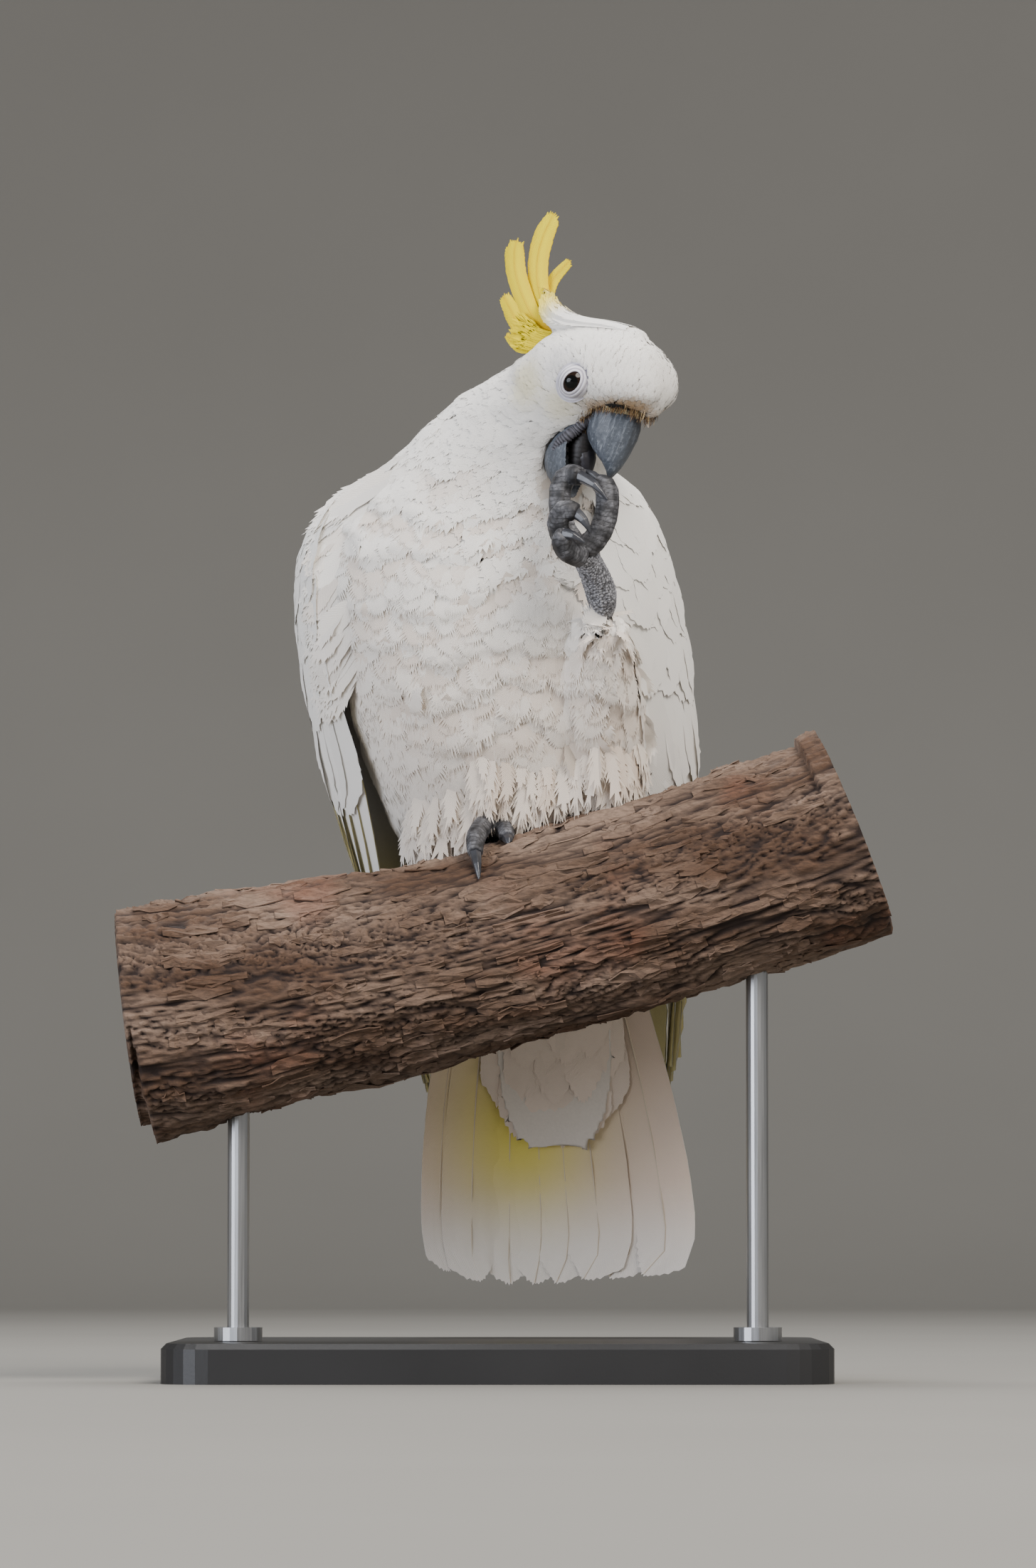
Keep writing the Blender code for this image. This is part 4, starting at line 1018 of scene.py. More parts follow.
def make_flank():
    """Loose feathers low on the belly and flank, which hang to the perch round the standing foot."""
    random = np.random.default_rng(17)
    perch = surface_tree(["branch"] + [f"toe_{number}_right" for number in range(1, 5)])
    starts, ends, ups = [], [], []
    for _ in range(FLANK_TRIES):
        x, z = random.uniform(*FLANK_SIDES), random.uniform(*FLANK_HEIGHTS)
        start, normal = seen_from_front(coat_ground.tree, x, z)[:2]
        if start is None or start.y > 0.02:
            continue
        down = Vector((random.uniform(-0.14, 0.14), random.uniform(0.10, 0.4), -1)).normalized()
        below = perch.ray_cast(start + Vector((0, -0.002, 0)), down)[0]
        if below is None or not 0.005 < (below - start).length < 0.036:
            continue
        starts.append(start - normal * 0.006 - down * 0.006)
        ends.append(start + down * min(random.uniform(0.014, 0.030), (below - start).length + 0.0005))
        ups.append((normal + Vector((0.02, -0.25, 0.1))).normalized())
    # Painted shade: these low feathers are painted darker and warmer than the coat above them.
    warm = tint_of(np.array(starts)) * np.array((0.96, 0.925, 0.89)) \
        * random.uniform(0.96, 1.0, (len(starts), 1))
    draped("flank_feathers", starts, ends, ups, 1.0, 2.3, 18, tints=warm, outline=DOWN_OUTLINE, fray=1.2)


def make_heel_tuft():
    """The tuft of the feathered thigh under the heel of the lifted leg."""
    random = np.random.default_rng(19)
    low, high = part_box("shank_left")
    starts, ends, ups = [], [], []
    for _ in range(HEEL_TRIES):
        x, z = (low.x + high.x) / 2 + random.uniform(-0.014, 0.020), low.z + random.uniform(-0.008, 0.016)
        start = seen_from_front(coat_ground.tree, x, z)
        if start[0] is None:
            continue
        down = Vector((random.uniform(-0.3, 0.25), 0.3, -1))
        down = (down - start[1] * min(0.0, down.dot(start[1]))).normalized()
        starts.append(start[0] - start[1] * 0.004 - down * 0.003)
        ends.append(start[0] - start[1] * 0.0002 + down * random.uniform(0.008, 0.013))
        ups.append((start[1] + Vector((0, -0.3, 0))).normalized())
    draped("heel_tuft", starts, ends, ups, 0.3, 1.9, 20, outline=DOWN_OUTLINE, fray=1.2)


def make_tail_coverts(name, node, from_front, seed):
    """Broad soft coverts over the root of the tail, in five rows, below it or above it."""
    random = np.random.default_rng(seed)
    low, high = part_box(node)
    tree = surface_tree([node])
    stand_off, facing = (-0.6, 1) if from_front else (0.6, -1)
    ahead = Vector((0, facing, 0))
    shafts, ups = [], []
    for row in range(COVERT_COURSES):
        for x in np.linspace(low.x + 0.006, high.x - 0.006, 6 - row % 2):
            x = x + random.uniform(-0.002, 0.002)
            heights = [z for z in np.arange(low.z, high.z, 0.001)
                       if tree.ray_cast(Vector((x, stand_off, z)), ahead)[0] is not None]
            if not heights:
                continue
            aside = (2 * x - low.x - high.x) / (high.x - low.x)
            tip = heights[0] + 0.001 + COVERT_COURSE * row + random.uniform(0, 0.004) + 0.006 * aside ** 2
            shaft, up = [], []
            for z in np.linspace(tip + COVERT_LENGTH, tip, 9):
                hit, normal = coat_ground.tree.ray_cast(Vector((x, stand_off, z)), ahead)[:2]
                if hit is None:
                    hit, normal = (shaft[-1] + Vector((0, 0, -0.005)), up[-1]) if shaft else (None, None)
                if hit is not None:
                    shaft.append(hit + normal * 0.0003)
                    up.append((normal + Vector((0, -facing, 0))).normalized())
            if len(shaft) == 9:
                shafts.append(shaft)
                ups.append(up)
    shafts, ups = np.array(shafts), np.array(ups)
    tone = rgb("#f1e0d0" if from_front else "#f6f3ee")
    piece = vane_piece(name, shafts, ups, random.uniform(8.5, 10.5, len(shafts)) * MM,
                       tone * random.uniform(0.95, 1.0, (len(shafts), 1)), outline=BODY_OUTLINE,
                       material=plumage, columns=10, cup=0.05, rounding=0.3, softness=0.6,
                       root_depth=np.full(len(shafts), 0.002), tip_lift=0.0002, fray=0.25,
                       seed=seed + 1, patches=patches_at(shafts[:, 2]))


make_shoulder_drape(0.325, 0.440, 15)
make_flank()
make_heel_tuft()
make_tail_coverts("undertail_covert_feathers", "undertail_coverts", True, 23)
make_tail_coverts("uppertail_covert_feathers", "uppertail_coverts", False, 25)

# --- Wings -----------------------------------------------------------------------------------
# Each folded wing: long flight feathers with stiff shafts, stacked with the innermost on top, and
# shorter coverts over their roots in rows, down from small ones at the shoulder.

WING_LEVELS, WING_COLUMNS = 64, 28
VANE_THICKNESS_MM = 0.5


def cross_section(name, level):
    """The points where the edges of a node's faces pass through a level."""
    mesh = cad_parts[name].data
    points = np.array([corner.co[:] for corner in mesh.vertices])
    edges = np.array([edge.vertices[:] for edge in mesh.edges])
    first, second = points[edges[:, 0]], points[edges[:, 1]]
    rise = second[:, 2] - first[:, 2]
    share = (level - first[:, 2]) / np.where(abs(rise) < 1e-9, 1e-9, rise)
    cut = (share >= 0) & (share <= 1) & (abs(rise) > 1e-9)
    return first[cut] + (second[cut] - first[cut]) * share[cut, None]


class Sheet:
    """A curved sheet of places, from its top edge down and from one side edge across."""

    def __init__(self, places):
        for _ in range(3):
            inner = (places[:-2] + 2 * places[1:-1] + places[2:]) / 4
            places[1:-1] = inner
        self.places = places
        down, across = np.gradient(places, axis=0), np.gradient(places, axis=1)
        self.normals = unit(np.cross(down, across))

    def at(self, down, across):
        """The place and normal at each pair of shares."""
        rows, columns = self.places.shape[0] - 1, self.places.shape[1] - 1
        row = np.clip(down, 0, 1) * rows
        column = np.clip(across, 0, 1) * columns
        i, j = np.minimum(row.astype(int), rows - 1), np.minimum(column.astype(int), columns - 1)
        u, v = (row - i)[..., None], (column - j)[..., None]
        found = []
        for grid in (self.places, self.normals):
            found.append(grid[i, j] * (1 - u) * (1 - v) + grid[i + 1, j] * u * (1 - v)
                         + grid[i, j + 1] * (1 - u) * v + grid[i + 1, j + 1] * u * v)
        return found[0], unit(found[1])


def wing_sheet(side):
    """The wing's outer face, read off its solid by rays towards the body's middle line."""
    sign = 1 if side == "left" else -1
    low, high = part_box("wing_" + side)
    tree = wing_trees[side]
    rows = []
    for level in np.linspace(high.z - 0.003, low.z + 0.002, WING_LEVELS):
        cuts = {each: cross_section("wing_" + each, min(level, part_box("wing_" + each)[1].z - 0.002))
                for each in ("left", "right")}
        if min(len(cut) for cut in cuts.values()) < 3:
            continue
        right_edge = cuts["right"][cuts["right"][:, 0].argmin()]
        left_edge = cuts["left"][cuts["left"][:, 0].argmax()]
        heart = Vector(((right_edge[0] + left_edge[0]) / 2, (right_edge[1] + left_edge[1]) / 2, level))
        angles, hits = [], []
        for angle in np.radians(np.arange(20, 185, 1.2)):
            away = Vector((sign * math.sin(angle), -math.cos(angle), 0))
            hit, normal, _, _ = tree.ray_cast(heart + away * 0.3, -away)
            if hit is not None and normal.dot(away) > 0.05:
                angles.append(angle)
                hits.append(hit)
        if len(hits) < 4:
            continue
        wanted = np.linspace(angles[0], angles[-1], WING_COLUMNS)
        rows.append(np.stack([np.interp(wanted, angles, [hit[axis] for hit in hits])
                              for axis in range(3)], axis=-1))
    places = np.array(rows)
    sheet = Sheet(places)
    if side == "right":
        sheet.normals *= -1
    if np.mean(np.sum(sheet.normals * (places - places.mean(axis=(0, 1))), axis=2)) < 0:
        sheet.normals *= -1
    return sheet


def sheet_shafts(sheet, start, end, rows):
    """Stations of feathers whose roots and tips are given as shares (down, across) of a sheet."""
    share = np.linspace(0, 1, rows)[None, :]
    down = start[:, :1] * (1 - share) + end[:, :1] * share
    across = start[:, 1:] * (1 - share) + end[:, 1:] * share
    return sheet.at(down, across)


def stiff_feathers(name, shafts, ups, halves, tints, under_tints, lifts, material, seed, outline,
                   columns=8, fray=0.12, rounding=0.12, cup=0.05):
    """Flight feathers: an upper and an under face to each, and a raised shaft down the middle."""
    lifted = shafts + ups * lifts[:, None, None]
    common = dict(outline=outline, columns=columns, fray=fray, rounding=rounding, cup=cup,
                  roll=np.full(len(shafts), 0.0), tip_lift=0.0, seed=seed, patches=patches_at(shafts[:, 2]))
    upper = vane_piece(name, lifted, ups, halves, tints, material=material, softness=0.55, **common)
    below = lifted - ups * (VANE_THICKNESS_MM * MM)
    lower = vane_piece(name + "_under", below, ups, halves, under_tints, material=material, **common)
    lower.data.flip_normals()
    quills = quill_piece(name + "_shafts", lifted, ups, halves, material)
    return upper


def quill_piece(name, shafts, ups, halves, material):
    """The stiff pale shafts, round ridges that taper to the tips."""
    count, rows = shafts.shape[:2]
    sides = unit(np.cross(ups, unit(np.gradient(shafts, axis=1))))
    radius = (halves * 0.045)[:, None] * np.linspace(1, 0.25, rows)[None]
    ring = []
    for turn in turns(6):
        ring.append(shafts + sides * (radius * math.cos(turn))[..., None]
                    + ups * (radius * math.sin(turn))[..., None])
    points = np.stack(ring, axis=2)
    corner = np.arange(rows - 1)[:, None] * 6 + np.arange(6)[None]
    after = np.arange(rows - 1)[:, None] * 6 + (np.arange(6)[None] + 1) % 6
    quads = np.stack([corner, after, after + 6, corner + 6], axis=-1).reshape(-1, 4)
    faces = (quads[None] + (np.arange(count) * rows * 6)[:, None, None]).reshape(-1, 4)
    item = new_piece(name, points.reshape(-1, 3), faces, material)
    paint(item, np.tile(rgb("#dccdb6"), (count * rows * 6, 1)))
    store_vectors(item, "vane", np.zeros(count * rows * 18))
    corners = np.array(faces).ravel()
    within = np.stack([corners % 6 / 5 - 0.5, corners // 6 % rows / (rows - 1) - 0.5], axis=-1)
    uv = item.data.uv_layers.new(name="OFBake")
    uv.data.foreach_set("uv", (patches_at(shafts[:, 2])[corners // (rows * 6)] + within * PATCH).ravel())
    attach(item, "root")
    return item


FLIGHT_OUTLINE = ((0, 0.1, 0.5, 0.85, 1), (0.35, 0.7, 1.0, 0.95, 0.72))
COVERT_OUTLINE = ((0, 0.2, 0.6, 0.88, 1), (0.4, 0.8, 1.0, 0.92, 0.66))
# Rows of coverts: shares down the wing at roots and tips, number, half width in mm, and lift.
COVERT_ROWS = (
    ("greater_coverts", 0.27, 0.52, 15, 12.5, 0.0009),
    ("middle_coverts", 0.17, 0.37, 15, 11, 0.0014),
    ("lesser_coverts_low", 0.11, 0.27, 15, 10, 0.0018),
    ("lesser_coverts_mid", 0.06, 0.20, 14, 9.5, 0.0021),
    ("lesser_coverts_top", 0.01, 0.135, 12, 9, 0.0023),
    ("shoulder_edge", -0.03, 0.075, 11, 8.5, 0.0025),
)
flight = make_plumage_material("flight_vane", 0.08)
wing_white = rgb("#f8f6f1")
under_yellow = rgb("#efe3a6")


def make_lining(side):
    """The flesh and down of the folded wing, between its outer feathers and the body."""
    lining = fused("wing_lining_" + side, ["wing_" + side], 1.4, 6, skin.data.materials[0])
    ground = Ground(lining)
    raised(lining, np.full(len(ground.points), -1.3 * MM))
    low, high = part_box("wing_" + side)
    sign = 1 if side == "left" else -1
    inner = smoothstep(0.1, -0.35, ground.normals[:, 0] * sign - 0.35 * ground.normals[:, 1])
    height = (ground.points[:, 2] - low.z) / (high.z - low.z)
    wash = (inner * smoothstep(0.52, 0.36, height))[:, None]
    paint(lining, wing_white * 0.93 * (1 - wash) + under_yellow * 0.9 * wash)
    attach(lining, "root")


def make_wing(side, seed):
    random = np.random.default_rng(seed)
    sheet = wing_sheet(side)
    count = 19
    order = np.linspace(0, 1, count)
    start = np.stack([0.20 + 0.10 * order, 0.03 + 0.90 * order], axis=1)
    tip_down = np.interp(order, (0, 0.12, 0.3, 0.5, 0.75, 1), (0.97, 0.995, 0.95, 0.86, 0.74, 0.66))
    end = np.stack([tip_down, 0.10 + 0.74 * order], axis=1)
    shafts, ups = sheet_shafts(sheet, start, end, 12)
    halves = random.uniform(0.95, 1.05, count) * np.interp(order, (0, 0.4, 1), (12.5, 14.5, 16)) * MM
    tints = wing_white * random.uniform(0.95, 1.0, (count, 1))
    under = under_yellow * random.uniform(0.9, 1.0, (count, 1))
    vanes = stiff_feathers("flight_feathers_" + side, shafts, ups, halves, tints, under,
                           -0.0008 + 0.0012 * order, flight, seed, FLIGHT_OUTLINE)
    for name, top, bottom, number, half_mm, lift in COVERT_ROWS:
        across = np.linspace(0.02, 0.98, number) + random.uniform(-0.012, 0.012, number)
        start = np.stack([top + random.uniform(-0.01, 0.01, number), across], axis=1)
        end = np.stack([bottom + random.uniform(-0.012, 0.012, number) - 0.05 * (across - 0.4) ** 2,
                        0.04 + 0.93 * across], axis=1)
        shafts, ups = sheet_shafts(sheet, start, end, 8)
        halves = half_mm * MM * random.uniform(0.92, 1.08, number)
        shafts = shafts + ups * lift
        tints = wing_white * random.uniform(0.96, 1.0, (number, 1))
        piece = vane_piece(f"{name}_{side}", shafts, ups, halves, tints, COVERT_OUTLINE, flight, columns=8,
                           cup=0.05, rounding=0.25, root_depth=np.full(number, 0.0015), tip_lift=0.0004,
                           fray=0.16, softness=0.6, seed=seed + number, patches=patches_at(shafts[:, 2]),
                           roll=np.full(number, 0.025 if side == "left" else -0.025))
    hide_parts("wing_" + side)
    make_lining(side)


make_wing("left", 21)
make_wing("right", 22)

# --- Tail ------------------------------------------------------------------------------------
# Broad flight feathers, spread a little, eight of them for the twelve of a live bird. Their
# lifts set which one overlaps which. The under faces are cream, with a yellow wash in the middle.

# Each quill: share across at the root and at the end, half width and lift in mm, and its length share.
TAIL_QUILLS = (
    (0.10, 0.050, 9.0, -1.0, 0.970), (0.23, 0.170, 14.5, 0.3, 0.992), (0.37, 0.320, 15.5, -0.4, 1.0),
    (0.46, 0.450, 14.5, 0.2, 1.0), (0.52, 0.565, 14.5, 0.9, 0.996), (0.60, 0.690, 16.5, 1.6, 0.985),
    (0.74, 0.815, 14.5, -0.6, 0.985), (0.83, 0.955, 15.0, 0.5, 0.976),
)


def tail_sheet():
    """The tail's under face, from its root down and from the bird's right across."""
    low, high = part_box("tail")
    tree = surface_tree(["tail"])
    rows = []
    for level in np.linspace(high.z - 0.004, low.z + 0.006, 40):
        cut = cross_section("tail", level)
        row = []
        for share in np.linspace(0.01, 0.99, 26):
            x = cut[:, 0].min() + (cut[:, 0].max() - cut[:, 0].min()) * share
            hit = tree.ray_cast(Vector((x, -0.5, level)), Vector((0, 1, 0)))[0]
            row.append(hit if hit is not None else row[-1])
        rows.append([tuple(place) for place in row])
    sheet = Sheet(np.array(rows))
    if sheet.normals[:, :, 1].mean() > 0:
        sheet.normals *= -1
    return sheet


def make_tail():
    random = np.random.default_rng(31)
    sheet = tail_sheet()
    root, tip, half_mm, lift_mm, length = np.array(TAIL_QUILLS).T
    start = np.stack([np.zeros(len(root)), root], axis=1)
    end = np.stack([length, tip], axis=1)
    shafts, ups = sheet_shafts(sheet, start, end, 18)
    cream = rgb("#efd9c6")
    tints = cream * random.uniform(0.95, 1.0, (len(root), 1))
    outline = ((0, 0.3, 0.7, 0.86, 0.94, 0.98, 1), (0.55, 0.8, 1.0, 0.99, 0.9, 0.72, 0.5))
    vanes = stiff_feathers("tail_feathers", shafts, ups, half_mm * MM, tints,
                            wing_white * np.ones((len(root), 1)), lift_mm * MM, flight, 31, outline,
                            columns=12, fray=0.035, rounding=0.05, cup=0.04)
    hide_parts("tail")
    tint_tail(vanes, sheet)


def tint_tail(item, sheet):
    """A yellow wash over the middle of the under face, fading to white at the ends."""
    points = read_rows(item.data.vertices, "co", 3)
    colours = read_rows(item.data.color_attributes["tint"].data, "color", 4)[:, :3]
    heart, _ = sheet.at(np.array([0.62]), np.array([0.38]))
    near = points - heart[0]
    wash = np.exp(-(near[:, 0] / 0.032) ** 2 - (near[:, 2] / 0.046) ** 2)[:, None] * 0.9
    yellow = rgb("#f2e25c")
    tip_height = points[:, 2].min()
    white = smoothstep(tip_height + 0.055, tip_height + 0.01, points[:, 2])[:, None] * 0.7
    colours = colours * (1 - wash) + yellow * wash
    paint(item, colours * (1 - white) + wing_white * white)


make_tail()

# --- Crest -----------------------------------------------------------------------------------
# Long narrow recurved plumes, sulphur yellow with blunt frayed ends, rise from the back of the
# crown. Broad white feathers lie over their roots, from the forehead back and up behind it.

# Plumes: place to the bird's right, half width, then forward and height down the shaft, all in mm.
PLUMES_MM = {
    "tall": (0.8, 5.2, ((-28, 16), (-41, 20), (-50, 28), (-56, 39), (-58, 50), (-57.5, 59.5))),
    "tall_inner": (-1.2, 4.6, ((-28, 15), (-41, 19), (-51, 28), (-57.4, 39), (-60, 49), (-60, 56))),
    "front": (-3.6, 3.0, ((-34, 18), (-41, 20), (-45, 26), (-46, 34), (-42.5, 44))),
    "middle": (3.6, 4.9, ((-26, 14), (-40, 12.5), (-53, 20), (-62, 28.5), (-66.5, 36), (-68, 41.5))),
    "middle_inner": (1.4, 3.6, ((-26, 13), (-41, 12), (-55, 19.5), (-64.5, 28), (-69, 34.5), (-71, 38))),
    "inner": (-2.8, 3.2, ((-26, 12), (-42, 11.5), (-57, 20), (-65.5, 27.5), (-70, 33))),
    "low": (2.4, 3.9, ((-22, 15), (-38, 6), (-50, 8.5), (-57.5, 13), (-63, 16.5))),
    "low_inner": (-0.8, 3.6, ((-22, 15), (-38, 5), (-49, 6.5), (-56, 9.5), (-61, 12.5))),
    "nape": (-1.0, 2.1, ((-24, 12), (-38, 2.5), (-46, 1), (-51, 3), (-54, 6))),
    "nape_outer": (2.8, 2.0, ((-24, 12), (-37, 2.5), (-44, -1), (-49, 0), (-53, 1.6))),
}


def head_place(points):
    """Forward, height and right of each point from the middle of the head, in mm."""
    away = (points - np.array(head_middle)) / MM
    return np.stack([away @ np.array(way) for way in (head_forward, head_up, head_right)], axis=1)


def make_crest():
    random = np.random.default_rng(41)
    deep, pale = rgb("#ffe600"), rgb("#ffee38")
    crest = make_plumage_material("crest_plume", 0.02)
    rows = 16
    shafts, ups, halves = [], [], []
    for place, half, shaft in PLUMES_MM.values():
        points = through(shaft, rows)
        lean = place * (0.4 + 0.6 * np.linspace(0, 1, rows))
        shafts.append([in_head(points[k][0], points[k][1], lean[k]) for k in range(rows)])
        ups.append([head_right] * rows)
        halves.append(half * MM)
    shafts, ups, halves = np.array(shafts), np.array(ups), np.array(halves)
    tints = deep * random.uniform(0.86, 1.0, (len(halves), 1))
    outline = ((0, 0.15, 0.45, 0.75, 0.88, 0.96, 1), (0.45, 0.7, 1.0, 0.98, 0.88, 0.72, 0.5))
    shape = dict(outline=outline, columns=8, fray=0.18, rounding=0.04, tip_lift=0.0,
                 roll=np.zeros(len(halves)), patches=patches_at(shafts[:, 2]))
    near = vane_piece("crest_plumes", shafts, ups, halves, tints, material=crest, cup=0.16, seed=42, **shape)
    # The far faces are painted 6% darker, a painted shade for the far side; the loop below paints over it.
    far = vane_piece("crest_plumes_far", shafts - ups * 0.0005, ups, halves * 0.99, tints * 0.94,
                     material=crest, cup=0.16, seed=42, **shape)
    far.data.flip_normals()
    quills = quill_piece("crest_shafts", shafts, ups, halves * 0.7, crest)
    # Each plume is painted golden at its root, partly a deeper yellow and partly painted shade where the
    # plumes crowd, then sulphur, paler at the tips, and golden along its shaft and edges.
    golden = rgb("#dcae08")
    for item in (near, far, quills):
        points = Ground(item).points
        reach = distance_to(points, in_head(-33, 15, 0)) / MM
        rise, fade = smoothstep(2, 14, reach)[:, None], 0.3 * smoothstep(30, 52, reach)[:, None]
        aside = abs(read_rows(item.data.attributes["vane"].data, "vector", 3)[:, 0])
        rib = (0.45 * smoothstep(1.3, 0.0, aside) + 0.3 * smoothstep(2.2, 4.6, aside))[:, None]
        own = np.repeat(tints / deep, len(points) // len(tints), axis=0)
        tone = own * ((golden * (1 - rise) + deep * rise) * (1 - fade) + pale * fade)
        paint(item, tone * (1 - rib) + golden * rib)
    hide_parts("crest")
    make_cap(random, deep * 0.6 + pale * 0.4)
    make_crest_wisps(random, deep, crest)


def make_cap(random, pale):
    """White feathers in overlapping courses round the cap's upper side."""
    path = through(CAP_MM, CAP_STATIONS)
    rows = 9
    shafts, ups, halves = [], [], []
    for course, (first, last) in enumerate(((0.48, 1.0), (0.40, 0.94), (0.30, 0.86), (0.2, 0.74))):
        for angle in np.radians(np.linspace(-100, 100, 8)) + random.uniform(-0.08, 0.08, 8):
            shaft, up = [], []
            for station in np.linspace(first, last - 0.08 * abs(math.sin(angle)), rows) * (CAP_STATIONS - 1):
                centre, outward, width, depth = cap_ring(path, station)
                raise_mm = 0.15 + 0.12 * course
                shaft.append(centre + head_right * ((width + raise_mm) * math.sin(angle) * MM)
                             + outward * ((depth + raise_mm) * math.cos(angle) * MM))
                up.append((head_right * math.sin(angle) / width
                           + outward * math.cos(angle) / depth).normalized())
            shafts.append(shaft)
            ups.append(up)
            halves.append(random.uniform(2.4, 3.2) * MM)
    shafts = np.array(shafts)
    piece = vane_piece("crest_cap", shafts, np.array(ups), np.array(halves),
                       np.tile(wing_white, (len(shafts), 1)), outline=COVERT_OUTLINE, material=plumage,
                       columns=5, cup=0.12, rounding=0.3, softness=0.5, tip_lift=0.0002, fray=0.6, seed=43,
                       patches=patches_at(shafts[:, 0]))
    place = head_place(Ground(piece).points)
    share = 0.9 * smoothstep(-29, -43, place[:, 0])[:, None]
    paint(piece, wing_white * (1 - share) + pale * share)


def make_crest_wisps(random, deep, crest):
    """Loose yellow threads under the plumes, down to the nape."""
    rows, count = 7, 240
    shafts, halves, tints = [], [], []
    for number in range(count):
        share = number / count
        place = random.choice((-1, 1)) * random.uniform(3.8, 5.6)
        start = np.array((-30 - 6 * share, 13 - 12 * share))
        reach = random.uniform(14, 24) * (1 - 0.45 * share)
        lift = random.uniform(-0.1, 0.5) * (1 - share)
        points = [start + reach * np.array((-k / (rows - 1),
                                            lift * (k / (rows - 1)) ** 2 - 0.25 * k / (rows - 1)))
                  for k in range(rows)]
        shafts.append([in_head(point[0], point[1], place * (1 - 0.12 * k / rows))
                       for k, point in enumerate(points)])
        halves.append(random.uniform(0.15, 0.45) * MM)
        tints.append(deep * random.uniform(0.8, 1.0))
    shafts = np.array(shafts)
    ups = np.broadcast_to(np.array(head_right), shafts.shape)
    piece = vane_piece("crest_wisps", shafts, ups, np.array(halves), np.array(tints), outline=COVERT_OUTLINE,
                       material=crest, columns=2, cup=0.1, rounding=0.5, fray=0.9, seed=44,
                       patches=patches_at(shafts[:, 2]))


make_crest()

# --- Bill and mouth --------------------------------------------------------------------------
# Slate-grey horn, matt and dry. It grows from the root and wears at the tip, so pale scratches
# and fine flakes run down it. The corner of the gape is wrinkled grey skin, the mouth is dark.


BRISTLE_COUNT = 2200


def make_horn_material():
    horn, tree, shader = new_material("bill_keratin", IOR=1.54)
    place = add(tree, "Attribute", attribute_name="grown").outputs["Vector"]
    wear = add(tree, "Attribute", attribute_name="wear").outputs["Fac"]
    drawn = add(tree, "Mapping", {"Vector": place, "Scale": (1.0, 0.16, 1.0)}).outputs["Vector"]
    streak_mm = 1.3
    streak = add(tree, "TexNoise", {"Vector": drawn, "Scale": 1 / streak_mm, "Detail": 5.0,
                                    "Roughness": 0.65}).outputs["Fac"]
    cloud = add(tree, "TexNoise", {"Vector": place, "Scale": 0.16, "Detail": 4.0}).outputs["Fac"]
    flake = add(tree, "TexNoise", {"Vector": place, "Scale": 0.9, "Detail": 5.0,
                                   "Roughness": 0.7}).outputs["Fac"]
    base = add(tree, "Mix", {0: cloud, 6: linear("#3a4049"), 7: linear("#5c636d")},
               data_type="RGBA").outputs[2]
    pale = add(tree, "MapRange", {"Value": streak, "From Min": 0.52, "From Max": 0.72,
                                  "To Max": 0.7}).outputs["Result"]
    scratched = add(tree, "Mix", {0: pale, 6: base, 7: linear("#99a1ac")}, data_type="RGBA").outputs[2]
    dusty = add(tree, "MapRange", {"Value": flake, "From Min": 0.55, "From Max": 0.68,
                                   "To Max": 0.5}).outputs["Result"]
    dusted = add(tree, "Mix", {0: dusty, 6: scratched, 7: linear("#8d959f")}, data_type="RGBA").outputs[2]
    worn = add(tree, "Mix", {0: wear, 6: dusted, 7: linear("#24272c")}, data_type="RGBA").outputs[2]
    rough = add(tree, "MapRange", {"Value": streak, "To Min": 0.34, "To Max": 0.62}).outputs["Result"]
    bump = add(tree, "Bump", {"Height": streak, "Strength": 0.5, "Distance": 0.0004}).outputs["Normal"]
    plug(shader, Base_Color=worn, Roughness=rough, Normal=bump)
    return horn


def make_wrinkled_material(name, hollow, crown, scale_mm, roughness):
    """Dry thick skin, dark in its creases and pale on what they part."""
    material, tree, shader = new_material(name, Roughness=roughness)
    place = add(tree, "TexCoord").outputs["Object"]
    crease = add(tree, "Attribute", attribute_name="scale_height").outputs["Fac"]
    grit = add(tree, "TexNoise", {"Vector": place, "Scale": 1 / (scale_mm * MM),
                                  "Detail": 4.0}).outputs["Fac"]
    mottled = add(tree, "MapRange", {"Value": grit, "To Min": 0.6, "To Max": 1.25}).outputs["Result"]
    tone = add(tree, "Mix", {0: crease, 6: linear(hollow), 7: linear(crown)}, data_type="RGBA").outputs[2]
    toned = add(tree, "Mix", {0: 1.0, 6: tone, 7: mottled},
                data_type="RGBA", blend_type="MULTIPLY").outputs[2]
    bump = add(tree, "Bump", {"Height": grit, "Strength": 0.35, "Distance": 0.0003}).outputs["Normal"]
    plug(shader, Base_Color=toned, Normal=bump)
    return material


def make_bill():
    horn = make_horn_material()
    for name in ("bill_upper", "bill_lower"):
        item = fused(name + "_horn", [name], 0.45, 8, horn)
        ground = Ground(item)
        place = head_place(ground.points)
        lines = np.array([noise.noise(Vector((row[0] * 0.5, row[1] * 0.11, row[2] * 0.5))) for row in place])
        pits = np.array([noise.noise(Vector(row * 0.55)) for row in place])
        raised(item, (0.16 * lines + 0.12 * pits) * MM)
        store_vectors(item, "grown", place)
        if name == "bill_upper":
            dark = 0.75 * smoothstep(24, 33, place[:, 0] + 0.25 * place[:, 1] + 4) \
                * smoothstep(9, 2, abs(place[:, 2]))
            dark = np.maximum(dark, 0.45 * smoothstep(-27, -35, place[:, 1]))
        else:
            dark = 0.5 * smoothstep(-32, -48, place[:, 1])
        store_values(item, "wear", dark)
        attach(item, "root")
        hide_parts(name)
    tongue_skin = make_wrinkled_material("tongue_skin", "#17161a", "#3c3a40", 1.0, 0.45)
    tongue = fused("tongue_flesh", ["tongue"], 0.5, 4, tongue_skin)
    ground = Ground(tongue)
    store_values(tongue, "scale_height", np.full(len(ground.points), 0.6))
    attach(tongue, "root")
    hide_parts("tongue")


